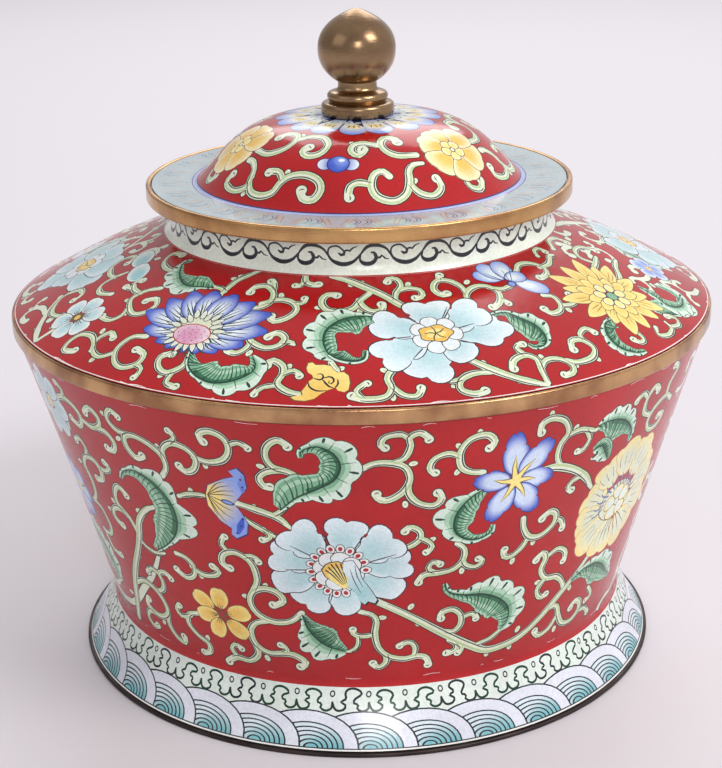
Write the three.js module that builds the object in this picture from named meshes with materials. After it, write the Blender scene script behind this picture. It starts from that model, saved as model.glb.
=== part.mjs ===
import * as THREE from "three";

// A round covered jar of painted enamel on sheet copper: a bowl that widens upwards from a
// flared foot, a low cone of a shoulder with a short neck, and a domed lid with a turned knob.
// A brass band covers the joint of bowl and shoulder, a brass ring edges the lid, and a dark
// metal rim edges the foot.
// Millimetres, +Z up, origin at the middle of the underside, on the surface it stands on.

// Jar, from the ground up.
const footRadius = 106.8; // outside of the foot at the ground
const footHeight = 23; // ground to the waist
const footFlare = 1.35; // how late the foot spreads: 1 is a straight cone
const waistRadius = 94.9;
const wallHeight = 101.8; // waist to the shoulder band
const wallHollow = 0.6; // how far the wall curves in between waist and band
const shoulderRise = 26.2; // band to the foot of the neck
const shoulderCrown = 1.5; // how far the shoulder swells above a straight cone
const neckRadius = 67.9;
const neckHeight = 13.8; // foot of the neck to its lip
const neckFillet = 4; // hollow curve where the shoulder turns up into the neck
const jarWall = 2.2; // copper with enamel on both faces
const floorFillet = 8; // round corner inside, where the wall meets the floor

// Metal rings.
const footRimHeight = 1.5;
const footRimWidth = 3.4;
const bandRadius = 125;
const bandHeight = 5.2;
const bandThickness = 1.7;
const bandStand = 1.2; // how far the band stands out from the top of the wall
const lidOverhang = 7.5; // how far the lid's ring stands out from the neck
const lidRimHeight = 5.2;
const lidRimThickness = 1.9;
const ringEdge = 0.7; // rounding on the rings' edges
const bandLap = 0.9; // how far the band's edge hides the shoulder's

// Lid.
const lidWall = 2;
const brimProud = 0.2; // how far the lid's ring stands above its brim
const brimWidth = 17.3; // lid's ring to where the dome springs from the brim
const domeHeight = 22;
const domeSquareness = 4.5; // a high value flattens the top
const domeSpring = 1.4; // a high value widens the hollow curve at the brim
const flangeDepth = 11; // how far the lid's collar reaches into the neck

// Knob.
const knobBaseRadius = 12.8;
const knobBaseHeight = 4.3;
const knobStepRadius = 10.7;
const knobStepHeight = 3.7;
const knobNeckRadius = 6.8;
const knobNeckHeight = 3.4;
const knobNeckSpread = 0.9; // how much wider the knob's neck is at its foot
const ballRadius = 13.6;
const ballDrop = 10.8; // ball's widest ring down to the neck
const ballRise = 14.4; // ball's widest ring up to the tip

// Fits.
const seam = 0.3; // gap between pieces that touch
const lidFit = 0.6; // play of the lid's collar in the neck

// Facets.
const ringSides = 52;
const knobSides = 28;

// Heights and radii that follow from the sizes above.
const bandFoot = footHeight + wallHeight;
const bandTop = bandFoot + bandHeight;
const joint = bandFoot + bandHeight / 2;
const neckFoot = bandTop + shoulderRise;
const lip = neckFoot + neckHeight;
const brimUnder = lip + seam;
const brimTop = brimUnder + lidWall;
const domeTop = brimTop + domeHeight;
const knobFoot = domeTop + seam;
const wallTopRadius = bandRadius - bandStand;
const seatRadius = bandRadius - bandThickness - seam;
const seatInner = seatRadius - jarWall;
const shoulderRadius = bandRadius - bandLap;
const lidRimRadius = neckRadius + lidOverhang;
const domeRadius = lidRimRadius - brimWidth;
const brimRadius = lidRimRadius - lidRimThickness - seam;
const boreRadius = neckRadius - jarWall;
const flangeRadius = boreRadius - lidFit;
const floorTop = footHeight;
const floorUnder = floorTop - jarWall;
const underFoot = footRimHeight + seam;

const point = (radius, height) => new THREE.Vector2(radius, height);

// A row of points from a formula of t, which runs from 0 to 1.
function along(steps, formula) {
  return Array.from({ length: steps + 1 }, (_, i) => formula(i / steps));
}

// A quarter turn of a circle or ellipse about a centre, from angle a to angle b in degrees.
function arc(centre, across, up, a, b, steps) {
  return along(steps, (t) => {
    const angle = THREE.MathUtils.degToRad(THREE.MathUtils.lerp(a, b, t));
    return point(centre.x + across * Math.cos(angle), centre.y + up * Math.sin(angle));
  });
}

// The same line moved sideways, to the left of its direction.
function offset(line, distance) {
  return line.map((here, i) => {
    const before = line[Math.max(i - 1, 0)];
    const after = line[Math.min(i + 1, line.length - 1)];
    const way = after.clone().sub(before).normalize();
    return point(here.x - way.y * distance, here.y + way.x * distance);
  });
}

// Turns a closed outline, or one that starts and ends on the axis, about the upright axis.
function turned(name, outline, sides, material) {
  const geometry = new THREE.LatheGeometry(outline, sides).rotateX(Math.PI / 2);
  const mesh = new THREE.Mesh(geometry, material);
  mesh.name = name;
  return mesh;
}

// The jar's outside, one line for each part of it, all running upwards.
function footLine() {
  return along(5, (t) => {
    const height = THREE.MathUtils.lerp(underFoot, footHeight, t);
    const spread = (1 - height / footHeight) ** footFlare;
    return point(THREE.MathUtils.lerp(waistRadius, footRadius, spread), height);
  });
}

function wallLine() {
  return along(3, (t) => {
    const straight = THREE.MathUtils.lerp(waistRadius, wallTopRadius, t);
    const height = THREE.MathUtils.lerp(footHeight, bandFoot, t);
    return point(straight - wallHollow * Math.sin(Math.PI * t), height);
  });
}

function shoulderLine() {
  const neckTurn = neckRadius + neckFillet * 0.5;
  const top = neckFoot - neckFillet * 0.25;
  return along(4, (t) => {
    const height = THREE.MathUtils.lerp(bandTop + seam, top, t);
    const radius = THREE.MathUtils.lerp(shoulderRadius, neckTurn, t);
    return point(radius, height + shoulderCrown * Math.sin(Math.PI * t));
  });
}

function neckLine() {
  return [
    point(neckRadius + neckFillet * 0.12, neckFoot + neckFillet * 0.35),
    point(neckRadius, neckFoot + neckFillet),
    point(neckRadius, lip),
  ];
}

function enamelled(color, roughness) {
  return new THREE.MeshStandardMaterial({ color, roughness, metalness: 0 });
}

// Foot and wall, up to the joint behind the brass band.
function makeBowl() {
  const foot = footLine();
  const wall = wallLine();
  const recess = offset(foot, jarWall).filter((p) => p.y > underFoot && p.y < floorUnder);
  const inside = offset(wall, jarWall).filter((p) => p.y > floorTop + floorFillet && p.y < bandFoot);
  const cornerRadius = waistRadius - jarWall - floorFillet;
  const corner = arc(point(cornerRadius, floorTop + floorFillet), floorFillet, floorFillet, -8, -90, 3);
  const outline = [
    point(0, floorUnder),
    point(recess[recess.length - 1].x, floorUnder),
    ...recess.reverse(),
    point(footRadius - footRimWidth, underFoot),
    ...foot,
    ...wall.slice(1, -1),
    point(wallTopRadius, bandFoot - seam),
    point(seatRadius, bandFoot - seam),
    point(seatRadius, joint - seam / 2),
    point(seatInner, joint - seam / 2),
    ...inside.reverse(),
    ...corner,
    point(0, floorTop),
  ];
  return turned("bowl", outline, ringSides, enamelled(0xb4262c, 0.22));
}

// Shoulder and neck, from the joint up to the lip.
function makeShoulder() {
  const shoulder = shoulderLine();
  const under = offset(shoulder, jarWall).filter((p, i) => i > 0 && p.x > boreRadius);
  const start = point(seatInner, joint + seam / 2);
  const outline = [
    start,
    point(seatRadius, joint + seam / 2),
    point(seatRadius, bandTop + seam),
    ...shoulder,
    ...neckLine(),
    point(boreRadius, lip),
    point(boreRadius, neckFoot - jarWall),
    ...under.reverse(),
    start,
  ];
  return turned("shoulder", outline, ringSides, enamelled(0xb4262c, 0.22));
}

// A ring whose outer edges are rounded, from its foot up.
function makeRing(name, outer, thickness, foot, height, material) {
  const inner = outer - thickness;
  const top = foot + height;
  const edge = Math.min(ringEdge, height / 2, thickness);
  const outline = [
    point(inner, foot),
    ...arc(point(outer - edge, foot + edge), edge, edge, -90, 0, 1),
    ...arc(point(outer - edge, top - edge), edge, edge, 0, 90, 1),
    point(inner, top),
    point(inner, foot),
  ];
  return turned(name, outline, ringSides, material);
}

function makeLid() {
  const dome = along(9, (t) => {
    const share = Math.cos((Math.PI / 2) * t);
    const fall = (1 - share ** domeSquareness) ** domeSpring;
    return point(domeRadius * share, brimTop + domeHeight * fall);
  });
  dome[dome.length - 1].x = 0;
  const springLine = domeRadius - lidWall;
  const inside = offset(dome, lidWall).filter((p) => p.y > brimUnder + lidWall && p.x > lidWall);
  const flangeInner = flangeRadius - lidWall;
  const outline = [
    point(0, domeTop - lidWall),
    ...inside.reverse(),
    point(springLine, brimUnder),
    point(flangeInner, brimUnder),
    point(flangeInner, brimUnder - flangeDepth),
    point(flangeRadius, brimUnder - flangeDepth),
    point(flangeRadius, brimUnder),
    point(brimRadius, brimUnder),
    point(brimRadius, brimTop),
    ...dome,
  ];
  return turned("lid", outline, ringSides, enamelled(0xc0282c, 0.2));
}

function makeKnob() {
  const baseTop = knobFoot + knobBaseHeight;
  const stepTop = baseTop + knobStepHeight;
  const neckTop = stepTop + knobNeckHeight;
  const widest = neckTop + ballDrop;
  const baseRound = knobBaseHeight * 0.3;
  const stepRound = knobStepHeight * 0.45;
  const underBall = Math.asin(knobNeckRadius / ballRadius);
  const ballUnder = along(4, (t) => {
    const angle = THREE.MathUtils.lerp(underBall, Math.PI / 2, t);
    const drop = Math.cos(angle) / Math.cos(underBall);
    return point(ballRadius * Math.sin(angle), widest - ballDrop * drop);
  });
  const ballOver = along(8, (t) => {
    const share = Math.sin((Math.PI / 2) * t);
    return point(ballRadius * (1 - share ** 2.5) ** 0.83, widest + ballRise * share);
  });
  const outline = [
    point(0, knobFoot),
    point(knobBaseRadius - baseRound * 0.4, knobFoot),
    point(knobBaseRadius, knobFoot + baseRound * 0.6),
    ...arc(point(knobBaseRadius - baseRound, baseTop - baseRound), baseRound, baseRound, 0, 90, 2),
    point(knobStepRadius - stepRound * 0.5, baseTop + stepRound * 0.1),
    ...arc(point(knobStepRadius - stepRound, stepTop - stepRound), stepRound, stepRound, -40, 75, 3),
    point(knobNeckRadius + knobNeckSpread, stepTop + knobNeckHeight * 0.12),
    point(knobNeckRadius, stepTop + knobNeckHeight * 0.45),
    ...ballUnder,
    ...ballOver.slice(1, -1),
    point(0, widest + ballRise),
  ];
  const brass = new THREE.MeshStandardMaterial({
    color: 0x8f6d50,
    roughness: 0.3,
    metalness: 1,
  });
  return turned("finial", outline, knobSides, brass);
}

const bandBrass = new THREE.MeshStandardMaterial({
  color: 0xa8784c,
  roughness: 0.32,
  metalness: 1,
});
const lidBrass = new THREE.MeshStandardMaterial({
  color: 0xad7f52,
  roughness: 0.3,
  metalness: 1,
});
const darkBrass = new THREE.MeshStandardMaterial({
  color: 0x4d413b,
  roughness: 0.45,
  metalness: 1,
});

const jar = new THREE.Group();
jar.add(
  makeBowl(),
  makeShoulder(),
  makeRing("foot_rim", footRadius, footRimWidth, 0, footRimHeight, darkBrass),
  makeRing("shoulder_band", bandRadius, bandThickness, bandFoot, bandHeight, bandBrass),
);

const cover = new THREE.Group();
const lidRimFoot = brimTop + brimProud - lidRimHeight;
cover.add(
  makeLid(),
  makeRing("lid_rim", lidRimRadius, lidRimThickness, lidRimFoot, lidRimHeight, lidBrass),
  makeKnob(),
);
jar.add(cover);

export default jar;
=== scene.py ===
import bpy
import math
import numpy as np
from mathutils import Matrix, Vector
from mathutils.geometry import delaunay_2d_cdt


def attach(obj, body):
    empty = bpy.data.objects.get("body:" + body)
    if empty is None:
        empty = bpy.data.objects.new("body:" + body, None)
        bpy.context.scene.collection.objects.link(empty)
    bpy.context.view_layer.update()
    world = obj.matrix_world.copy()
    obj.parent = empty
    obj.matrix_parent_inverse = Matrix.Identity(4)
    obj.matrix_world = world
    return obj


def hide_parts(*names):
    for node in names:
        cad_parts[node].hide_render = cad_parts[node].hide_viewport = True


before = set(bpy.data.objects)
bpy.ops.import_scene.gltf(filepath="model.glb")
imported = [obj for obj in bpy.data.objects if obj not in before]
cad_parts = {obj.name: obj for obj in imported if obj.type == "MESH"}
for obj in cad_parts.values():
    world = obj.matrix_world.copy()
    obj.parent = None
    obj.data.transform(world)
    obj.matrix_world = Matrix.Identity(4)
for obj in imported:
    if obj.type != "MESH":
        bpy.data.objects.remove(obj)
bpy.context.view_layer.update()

mm = 0.001
print("frame loaded")


# colours as the eye reads them, 0 to 255; linear turns one into what the renderer wants
def linear(colour):
    # colour of 0 to 255 as the renderer's linear light
    c = np.asarray(colour, float) / 255
    return np.where(c <= 0.04045, c / 12.92, ((c + 0.055) / 1.055) ** 2.4)


paint = {
    "red": (174, 12, 18),
    "cream": (226, 232, 208),
    "stem": (186, 206, 152),
    "stemLine": (44, 62, 42),
    "shade": (58, 44, 28),
    "mint": (214, 232, 216),
    "leaf": (124, 174, 140),
    "leafLight": (172, 208, 180),
    "leafDark": (44, 104, 72),
    "leafLine": (22, 62, 44),
    "ink": (36, 38, 46),
    "ice": (230, 240, 244),
    "iceBlue": (158, 206, 210),
    "iceShade": (184, 218, 222),
    "skyBlue": (136, 162, 228),
    "paleBlue": (206, 220, 242),
    "cobalt": (60, 88, 196),
    "yellow": (240, 196, 96),
    "paleYellow": (248, 226, 140),
    "white": (238, 238, 234),
    "rose": (216, 156, 186),
    "crimson": (176, 34, 48),
    "brown": (100, 76, 44),
    "straw": (222, 226, 198),
    "gold": (244, 208, 112),
    "primrose": (252, 240, 200),
    "borderGreen": (222, 232, 224),
    "waveWhite": (222, 226, 236),
    "wavePale": (214, 228, 234),
    "waveTeal": (112, 182, 190),
    "neckCream": (238, 244, 230),
    "brimGrey": (176, 192, 196),
    "brimBlue": (164, 186, 194),
    "brimTan": (190, 164, 142),
    "lavender": (168, 178, 222),
    "navy": (36, 44, 98),
    "inside": (188, 212, 214),
}


# the jar in mm; its outlines below are rows of (radius, height)
jar = {
    "footRadius": 106.8, "footHeight": 23.0, "footFlare": 1.35,  # flare: how late the foot spreads
    "underFoot": 1.8, "borderTop": 20.3,  # where the foot's paint starts, and where its borders end
    "waistRadius": 94.9, "wallTop": 124.8, "wallTopRadius": 123.8, "wallHollow": 0.6,
    "seatRadius": 123.0, "bandTop": 130.0, "jointGap": 0.01,  # behind the brass band
    "shoulderRadius": 124.1, "shoulderCrown": 1.5,
    "neckRadius": 67.9, "neckFoot": 156.2, "neckFillet": 4.0, "lip": 170.0,
    "wall": 2.2, "floorFillet": 8.0, "seam": 0.3,  # seam: gap between pieces that touch
    "columns": 180,  # sides of everything that is turned
}


class Line:
    # an outline to paint on: distance along it gives radius, height and the way it faces
    def __init__(self, rows, start=0.0):
        rows = np.array(rows, float)
        steps = np.hypot(*np.diff(rows, axis=0).T)
        self.s = start + np.concatenate([[0], np.cumsum(steps)])
        self.r, self.z = rows[:, 0], rows[:, 1]

    def radius(self, s):
        return np.interp(s, self.s, self.r)

    def height(self, s):
        return np.interp(s, self.s, self.z)

    def facing(self, s):
        ahead, behind = s + 0.4, s - 0.4
        dr = self.radius(ahead) - self.radius(behind)
        dz = self.height(ahead) - self.height(behind)
        length = np.maximum(np.hypot(dr, dz), 1e-9)
        return dz / length, -dr / length


def footRows(low, high, steps):
    # flared foot between two heights
    z = np.linspace(low, high, steps)
    spread = np.clip(1 - z / jar["footHeight"], 0, 1) ** jar["footFlare"]
    return np.stack([jar["waistRadius"] + (jar["footRadius"] - jar["waistRadius"]) * spread, z], 1)


def wallRows(steps):
    # the wall, a little hollow, from waist to band
    t = np.linspace(0, 1, steps)
    r = jar["waistRadius"] + (jar["wallTopRadius"] - jar["waistRadius"]) * t
    z = jar["footHeight"] + (jar["wallTop"] - jar["seam"] - jar["footHeight"]) * t
    return np.stack([r - jar["wallHollow"] * np.sin(np.pi * t), z], 1)


def shoulderRows(steps):
    # the shoulder, a little crowned, from band to neck
    t = np.linspace(0, 1, steps)
    low, high = jar["bandTop"] + jar["seam"], jar["neckFoot"] - jar["neckFillet"] * 0.25
    near = jar["neckRadius"] + jar["neckFillet"] * 0.5
    r = jar["shoulderRadius"] + (near - jar["shoulderRadius"]) * t
    return np.stack([r, low + (high - low) * t + jar["shoulderCrown"] * np.sin(np.pi * t)], 1)


def neckRows():
    # hollow curve up into the neck, the neck and its rounded lip
    r, z, f = jar["neckRadius"], jar["neckFoot"], jar["neckFillet"]
    return np.array([[r + f * 0.5, z - f * 0.25], [r + f * 0.26, z + f * 0.05],
                     [r + f * 0.12, z + f * 0.35], [r + f * 0.03, z + f * 0.7], [r, z + f],
                     [r, jar["lip"] - 0.8], [r - 0.3, jar["lip"] - 0.2], [r - 0.8, jar["lip"]]])


# how sheets are cut: mm kept clear of their edges, degrees from the back seam within which no
# point is left out, degrees that shapes are repeated past it, mm that a left-out point may stand
# off its line, the longest edge in mm that this makes, and mm within which points are joined
skin = {"margin": 0.03, "seamClear": 172, "overlap": 184, "slack": 0.03, "longest": 3.5, "join": 0.0008}


class Sheet:
    # a sheet of paint: shapes laid one over another, in degrees round and mm along the line
    plain = False  # set while the unseen sides are painted, with fewer coats and lines

    def __init__(self, line, low, high, ground, rowStep=3.0):
        self.line, self.low, self.high, self.rowStep = line, low, high, rowStep
        self.middle = float(line.radius((low + high) / 2))
        self.shapes, self.layers, self.inks, self.cuts = [], [], [ground], []

    def lay(self, outline, ink, cut=True):
        # one flat shape; cut tells whether its own outline is cut into the sheet
        shape = np.array(outline, float)
        shape[:, 1] = np.clip(shape[:, 1], self.low + skin["margin"], self.high - skin["margin"])
        self.shapes.append(shape)
        if ink not in self.inks[-12:] + self.inks[:12]:
            self.inks.append(ink)
        self.layers.append(len(self.inks) - 1 - self.inks[::-1].index(ink))
        if cut:
            self.cuts.append(np.vstack([shape, shape[:1]]))

    def hoop(self, low, high, ink):
        # a band all the way round, with a point in each column so that it bends with the jar
        x = np.arange(-200, 201, 360 / jar["columns"])
        self.lay([(a, low) for a in x] + [(a, high) for a in x[::-1]], ink)

    def strip(self, left, right, ink):
        # a ribbon between two lines of points, closed across its ends
        left, right = np.array(left, float), np.array(right, float)
        for side in (left, right):
            side[:, 1] = np.clip(side[:, 1], self.low + skin["margin"], self.high - skin["margin"])
        for i in range(len(left) - 1):
            self.lay([left[i], right[i], right[i + 1], left[i + 1]], ink, cut=False)
        self.cuts.append(np.vstack([left, right[::-1], left[:1]]))

    def scale(self, s):
        # degrees for one mm round the jar at this place
        return 180 / (math.pi * np.maximum(self.line.radius(s), 1.0))

    def around(self, theta, s, turn=0.0, size=1.0):
        # gives a function that puts a motif's own mm onto the sheet
        c, k = math.cos(math.radians(turn)), math.sin(math.radians(turn))

        def put(points):
            p = np.array(points, float).reshape(-1, 2) * size
            x, y = p[:, 0], p[:, 1]
            across, up = x * c - y * k, x * k + y * c
            return np.stack([theta + across * self.scale(s + up), s + up], 1)

        return put

    def stroke(self, path, widths, ink, shift=0.0, step=1.3, part=(0, 1)):
        # a brush stroke along path (degrees, mm); widths are half widths in mm at even shares of it
        spine = smooth(path, self, step * (1.8 if self.plain else 1))
        count = len(spine)
        t = np.linspace(0, 1, count)
        half = np.interp(t, np.linspace(0, 1, len(widths)), widths)
        per = self.scale(spine[:, 1])
        x, y = spine[:, 0] / per, spine[:, 1]
        dx, dy = np.gradient(x), np.gradient(y)
        length = np.maximum(np.hypot(dx, dy), 1e-6)
        nx, ny = -dy / length, dx / length
        first, last = int(part[0] * (count - 1)), max(int(part[1] * (count - 1)), 1)
        left = np.stack([(x + nx * (shift + half)) * per, y + ny * (shift + half)], 1)
        right = np.stack([(x + nx * (shift - half)) * per, y + ny * (shift - half)], 1)
        self.strip(left[first:last + 1], right[first:last + 1], ink)
        for i in (first, last):
            if half[i] > 0.25:
                self.dot(spine[i, 0] + shift * nx[i] * per[i], spine[i, 1] + shift * ny[i], half[i], ink,
                         7 if self.plain else 10)
        return spine

    def dot(self, theta, s, radius, ink, sides=12, tall=1.0, turn=0.0):
        a = np.linspace(0, 2 * np.pi, sides, endpoint=False)
        ring = np.stack([radius * np.cos(a), radius * tall * np.sin(a)], 1)
        self.lay(self.around(theta, s, turn)(ring), ink)

    def build(self):
        # cuts the sheet along every outline; each triangle then takes the topmost ink over it
        toMm = math.radians(1) * self.middle
        points, edges = [], []
        seams = [np.array([(x, self.low), (x, self.high)]) for x in (-180, 180)]
        for cut in self.cuts + seams:
            for shift in self.shifts(cut):
                start = len(points)
                points += ((cut + [shift, 0]) * [toMm, 1]).tolist()
                edges += [(i, i + 1) for i in range(start, len(points) - 1)]
        verts, tris = self.cutUp(points, edges)
        ink = self.inked(verts / [toMm, 1], tris)
        # the first cut holds many outlines that later shapes cover: only lines between inks stay
        sides = np.concatenate([tris[:, [0, 1]], tris[:, [1, 2]], tris[:, [2, 0]]])
        owner = np.tile(ink, 3)
        sides = np.sort(sides, 1)
        order = np.lexsort((sides[:, 1], sides[:, 0]))
        sides, owner = sides[order], owner[order]
        pair = (sides[1:] == sides[:-1]).all(1) & (owner[1:] != owner[:-1])
        used, slim = np.unique(sides[1:][pair], return_inverse=True)
        kept = thinned(verts[used], slim.reshape(-1, 2).tolist(), skin["seamClear"] * toMm)
        points = verts[used].tolist()
        for seam in seams:
            points += (seam * [toMm, 1]).tolist()
            kept.append((len(points) - 2, len(points) - 1))
        verts, tris = self.cutUp(points, kept)
        verts = verts / [toMm, 1]
        middle = verts[tris].mean(1)[:, 0]
        flat = [np.abs(verts[tris][..., 1] - edge).max(1) < 1e-3 for edge in (self.low, self.high)]
        tris = tris[(np.abs(middle) < 180) & ~flat[0] & ~flat[1]]
        used, tris = np.unique(tris, return_inverse=True)
        verts, tris = verts[used], tris.reshape(-1, 3)
        verts[:, 0] = np.clip(verts[:, 0], -180, 180)
        return verts, tris, self.inked(verts, tris)

    def shifts(self, shape):
        # a shape over the seam at the back is wanted at both ends of the sheet
        low, high = shape[:, 0].min(), shape[:, 0].max()
        if high - low > 300:
            return [0]
        reach = skin["overlap"]
        return [k for k in (0, 360, -360) if high + k > -reach and low + k < reach]

    def cutUp(self, points, edges):
        toMm = math.radians(1) * self.middle
        rows = max(1, int(round((self.high - self.low) / self.rowStep)))
        n = jar["columns"]
        grid = [(x, s) for s in np.linspace(self.low, self.high, rows + 1)
                for x in (np.arange(-2, n + 3) * 360 / n - 180) * toMm]
        out = delaunay_2d_cdt([Vector(p) for p in points + grid], edges, [], 0, 1e-4, False)
        verts = np.array([tuple(v) for v in out[0]])
        tris = np.array([face for face in out[2] if len(face) == 3])
        return verts, tris[np.argsort(verts[tris].mean(1)[:, 0], kind="stable")]

    def inked(self, verts, tris):
        centre = verts[tris].mean(1)
        ink = np.zeros(len(tris), int)
        for shape, layer in zip(self.shapes, self.layers):
            for shift in self.shifts(shape):
                x, y = shape[:, 0] + shift, shape[:, 1]
                first, last = np.searchsorted(centre[:, 0], (x.min(), x.max()))
                if first == last:
                    continue
                px, py = centre[first:last, 0], centre[first:last, 1]
                near = np.nonzero((py > y.min()) & (py < y.max()))[0]
                if len(near) == 0:
                    continue
                px, py = px[near, None], py[near, None]
                x2, y2 = np.roll(x, -1), np.roll(y, -1)
                crosses = (y > py) != (y2 > py)
                with np.errstate(divide="ignore", invalid="ignore"):
                    hit = crosses & (px < x + (py - y) * (x2 - x) / (y2 - y))
                ink[first + near[hit.sum(1) % 2 == 1]] = layer
        return ink

    def colours(self, verts, tris, ink):
        # a flat ink is one colour; a spread ink runs from one colour to another away from a centre
        corner = verts[tris]
        table = [i if isinstance(i, dict) else {"from": i} for i in self.inks]
        first = linear([paint[i["from"]] if isinstance(i["from"], str) else i["from"] for i in table])
        last = linear([paint[i.get("to", i["from"])] if isinstance(i.get("to", i["from"]), str)
                       else i.get("to", i["from"]) for i in table])
        centre = np.array([i.get("centre", (0, 0)) for i in table], float)
        near = np.array([i.get("near", 0) for i in table], float)
        far = np.array([i.get("far", 1) for i in table], float)
        c = centre[ink][:, None, :]
        across = (corner[..., 0] - c[..., 0]) / self.scale(corner[..., 1])
        away = np.hypot(across, corner[..., 1] - c[..., 1])
        k = np.clip((away - near[ink][:, None]) / (far - near)[ink][:, None], 0, 1)
        for i in (i for i, row in enumerate(table) if "share" in row):
            mine = ink == i
            k[mine] = table[i]["share"](corner[mine][..., 0], corner[mine][..., 1])
        k = k[..., None]
        return first[ink][:, None] * (1 - k) + last[ink][:, None] * k


def thinned(verts, edges, most):
    # leaves out points that lie almost on the straight line between their two neighbours, but
    # none near the seam, where both ends of the sheet must match
    ends = {}
    for a, b in edges:
        ends.setdefault(a, []).append(b)
        ends.setdefault(b, []).append(a)
    for i in sorted(ends):
        if len(ends[i]) != 2 or abs(verts[i][0]) > most:
            continue
        a, b = ends[i]
        way = verts[b] - verts[a]
        length = math.hypot(*way)
        off = abs(way[0] * (verts[i][1] - verts[a][1]) - way[1] * (verts[i][0] - verts[a][0]))
        short = 1e-6 < length < skin["longest"]
        if short and off / length < skin["slack"] and a != b and b not in ends[a]:
            ends[a][ends[a].index(i)] = b
            ends[b][ends[b].index(i)] = a
            del ends[i]
    return sorted({(min(a, b), max(a, b)) for a in ends for b in ends[a]})


def spread(start, end, centre, near, far):
    # an ink that runs from one colour to another away from a centre, in mm
    return {"from": start, "to": end, "centre": centre, "near": near, "far": far}


def smooth(path, sheet, step):
    # a soft curve through the points, with even steps in mm
    p = np.array(path, float).reshape(-1, 2)
    if len(p) > 2:
        padded = np.vstack([2 * p[0] - p[1], p, 2 * p[-1] - p[-2]])
        rows = []
        for i in range(len(p) - 1):
            a, b, c, d = padded[i:i + 4]
            t = np.linspace(0, 1, 12, endpoint=False)[:, None]
            rows.append(0.5 * (2 * b + (c - a) * t + (2 * a - 5 * b + 4 * c - d) * t ** 2
                               + (3 * b - a - 3 * c + d) * t ** 3))
        p = np.vstack(rows + [p[-1:]])
    per = sheet.scale(p[:, 1])
    gone = np.concatenate([[0], np.cumsum(np.hypot(np.diff(p[:, 0]) / per[1:], np.diff(p[:, 1])))])
    even = np.linspace(0, gone[-1], max(3, int(round(gone[-1] / step)) + 1))
    return np.stack([np.interp(even, gone, p[:, 0]), np.interp(even, gone, p[:, 1])], 1)


class Shell:
    # painted sheets and plain rings that are joined into one closed skin
    def __init__(self, name):
        self.name = name
        self.verts, self.tris, self.colours, self.normals = [], [], [], []
        self.across, self.down = [], []
        self.used = 0

    def add(self, theta, r, z, nr, nz, tris, colours, v):
        a = np.radians(theta)
        x, y = np.sin(a), -np.cos(a)
        self.verts.append(np.stack([r * x, r * y, z], 1) * mm)
        self.normals.append(np.stack([nr * x, nr * y, nz], 1))
        self.across.append(0.5 + theta / 360)
        self.down.append(v)
        self.tris.append(np.array(tris) + self.used)
        self.colours.append(colours)
        self.used += len(theta)

    def sheet(self, sheet, v):
        verts, tris, ink = sheet.build()
        theta, s = verts[:, 0], verts[:, 1]
        nr, nz = sheet.line.facing(s)
        share = (s - sheet.low) / (sheet.high - sheet.low)
        self.add(theta, sheet.line.radius(s), sheet.line.height(s), nr, nz, tris,
                 sheet.colours(verts, tris, ink), v[0] + (v[1] - v[0]) * share)
        print("painted", self.name, len(sheet.shapes), "shapes,", len(tris), "triangles")

    def rings(self, rows, colour, v):
        # plain turned surface through the rows, in the order that keeps its outside on the right
        rows = np.array(rows, float)
        n = jar["columns"] + 1
        theta = np.tile(np.linspace(-180, 180, n), len(rows))
        r, z = np.repeat(rows[:, 0], n), np.repeat(rows[:, 1], n)
        d = np.gradient(rows, axis=0)
        d /= np.maximum(np.hypot(d[:, 0], d[:, 1]), 1e-9)[:, None]
        share = np.linspace(0, 1, len(rows))
        tris = []
        for j in range(len(rows) - 1):
            for i in range(n - 1):
                a, b, c, e = j * n + i, j * n + i + 1, (j + 1) * n + i + 1, (j + 1) * n + i
                if rows[j, 0] > 1e-6:
                    tris.append((a, b, c))
                if rows[j + 1, 0] > 1e-6:
                    tris.append((a, c, e))
        tint = np.broadcast_to(linear(paint[colour]), (len(tris), 3, 3))
        self.add(theta, r, z, np.repeat(d[:, 1], n), np.repeat(-d[:, 0], n), tris, tint,
                 np.repeat(v[0] + (v[1] - v[0]) * share, n))

    def make(self, material, node):
        verts, tris = np.vstack(self.verts), np.vstack(self.tris)
        corner = tris.reshape(-1)
        uv = np.stack([np.concatenate(self.across), np.concatenate(self.down)], 1)[corner]
        mesh = bpy.data.meshes.new(self.name)
        mesh.from_pydata(verts.tolist(), [], tris.tolist())
        tint = mesh.color_attributes.new("paint", "FLOAT_COLOR", "CORNER")
        rgba = np.ones((len(corner), 4), np.float32)
        rgba[:, :3] = np.concatenate(self.colours).reshape(-1, 3)
        tint.data.foreach_set("color", rgba.ravel())
        mesh.uv_layers.new(name="OFBake").data.foreach_set("uv", uv.astype(np.float32).ravel())
        facing = mesh.attributes.new("facing", "FLOAT_VECTOR", "CORNER")
        facing.data.foreach_set("vector", np.vstack(self.normals)[corner].astype(np.float32).ravel())
        piece = bpy.data.objects.new(self.name, mesh)
        bpy.context.scene.collection.objects.link(piece)
        # neighbouring sheets and rings share their edge points, so the shell is one closed skin
        bpy.ops.object.select_all(action="DESELECT")
        bpy.context.view_layer.objects.active = piece
        piece.select_set(True)
        bpy.ops.object.mode_set(mode="EDIT")
        bpy.ops.mesh.select_all(action="SELECT")
        bpy.ops.mesh.remove_doubles(threshold=skin["join"] * mm)
        bpy.ops.object.mode_set(mode="OBJECT")
        facing = np.zeros(len(mesh.loops) * 3, np.float32)
        mesh.attributes["facing"].data.foreach_get("vector", facing)
        mesh.attributes.remove(mesh.attributes["facing"])
        mesh.shade_smooth()
        mesh.normals_split_custom_set(facing.reshape(-1, 3).tolist())
        mesh.materials.append(material)
        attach(piece, "root")
        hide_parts(node)
        print("made", self.name, len(mesh.polygons), "triangles")


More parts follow.
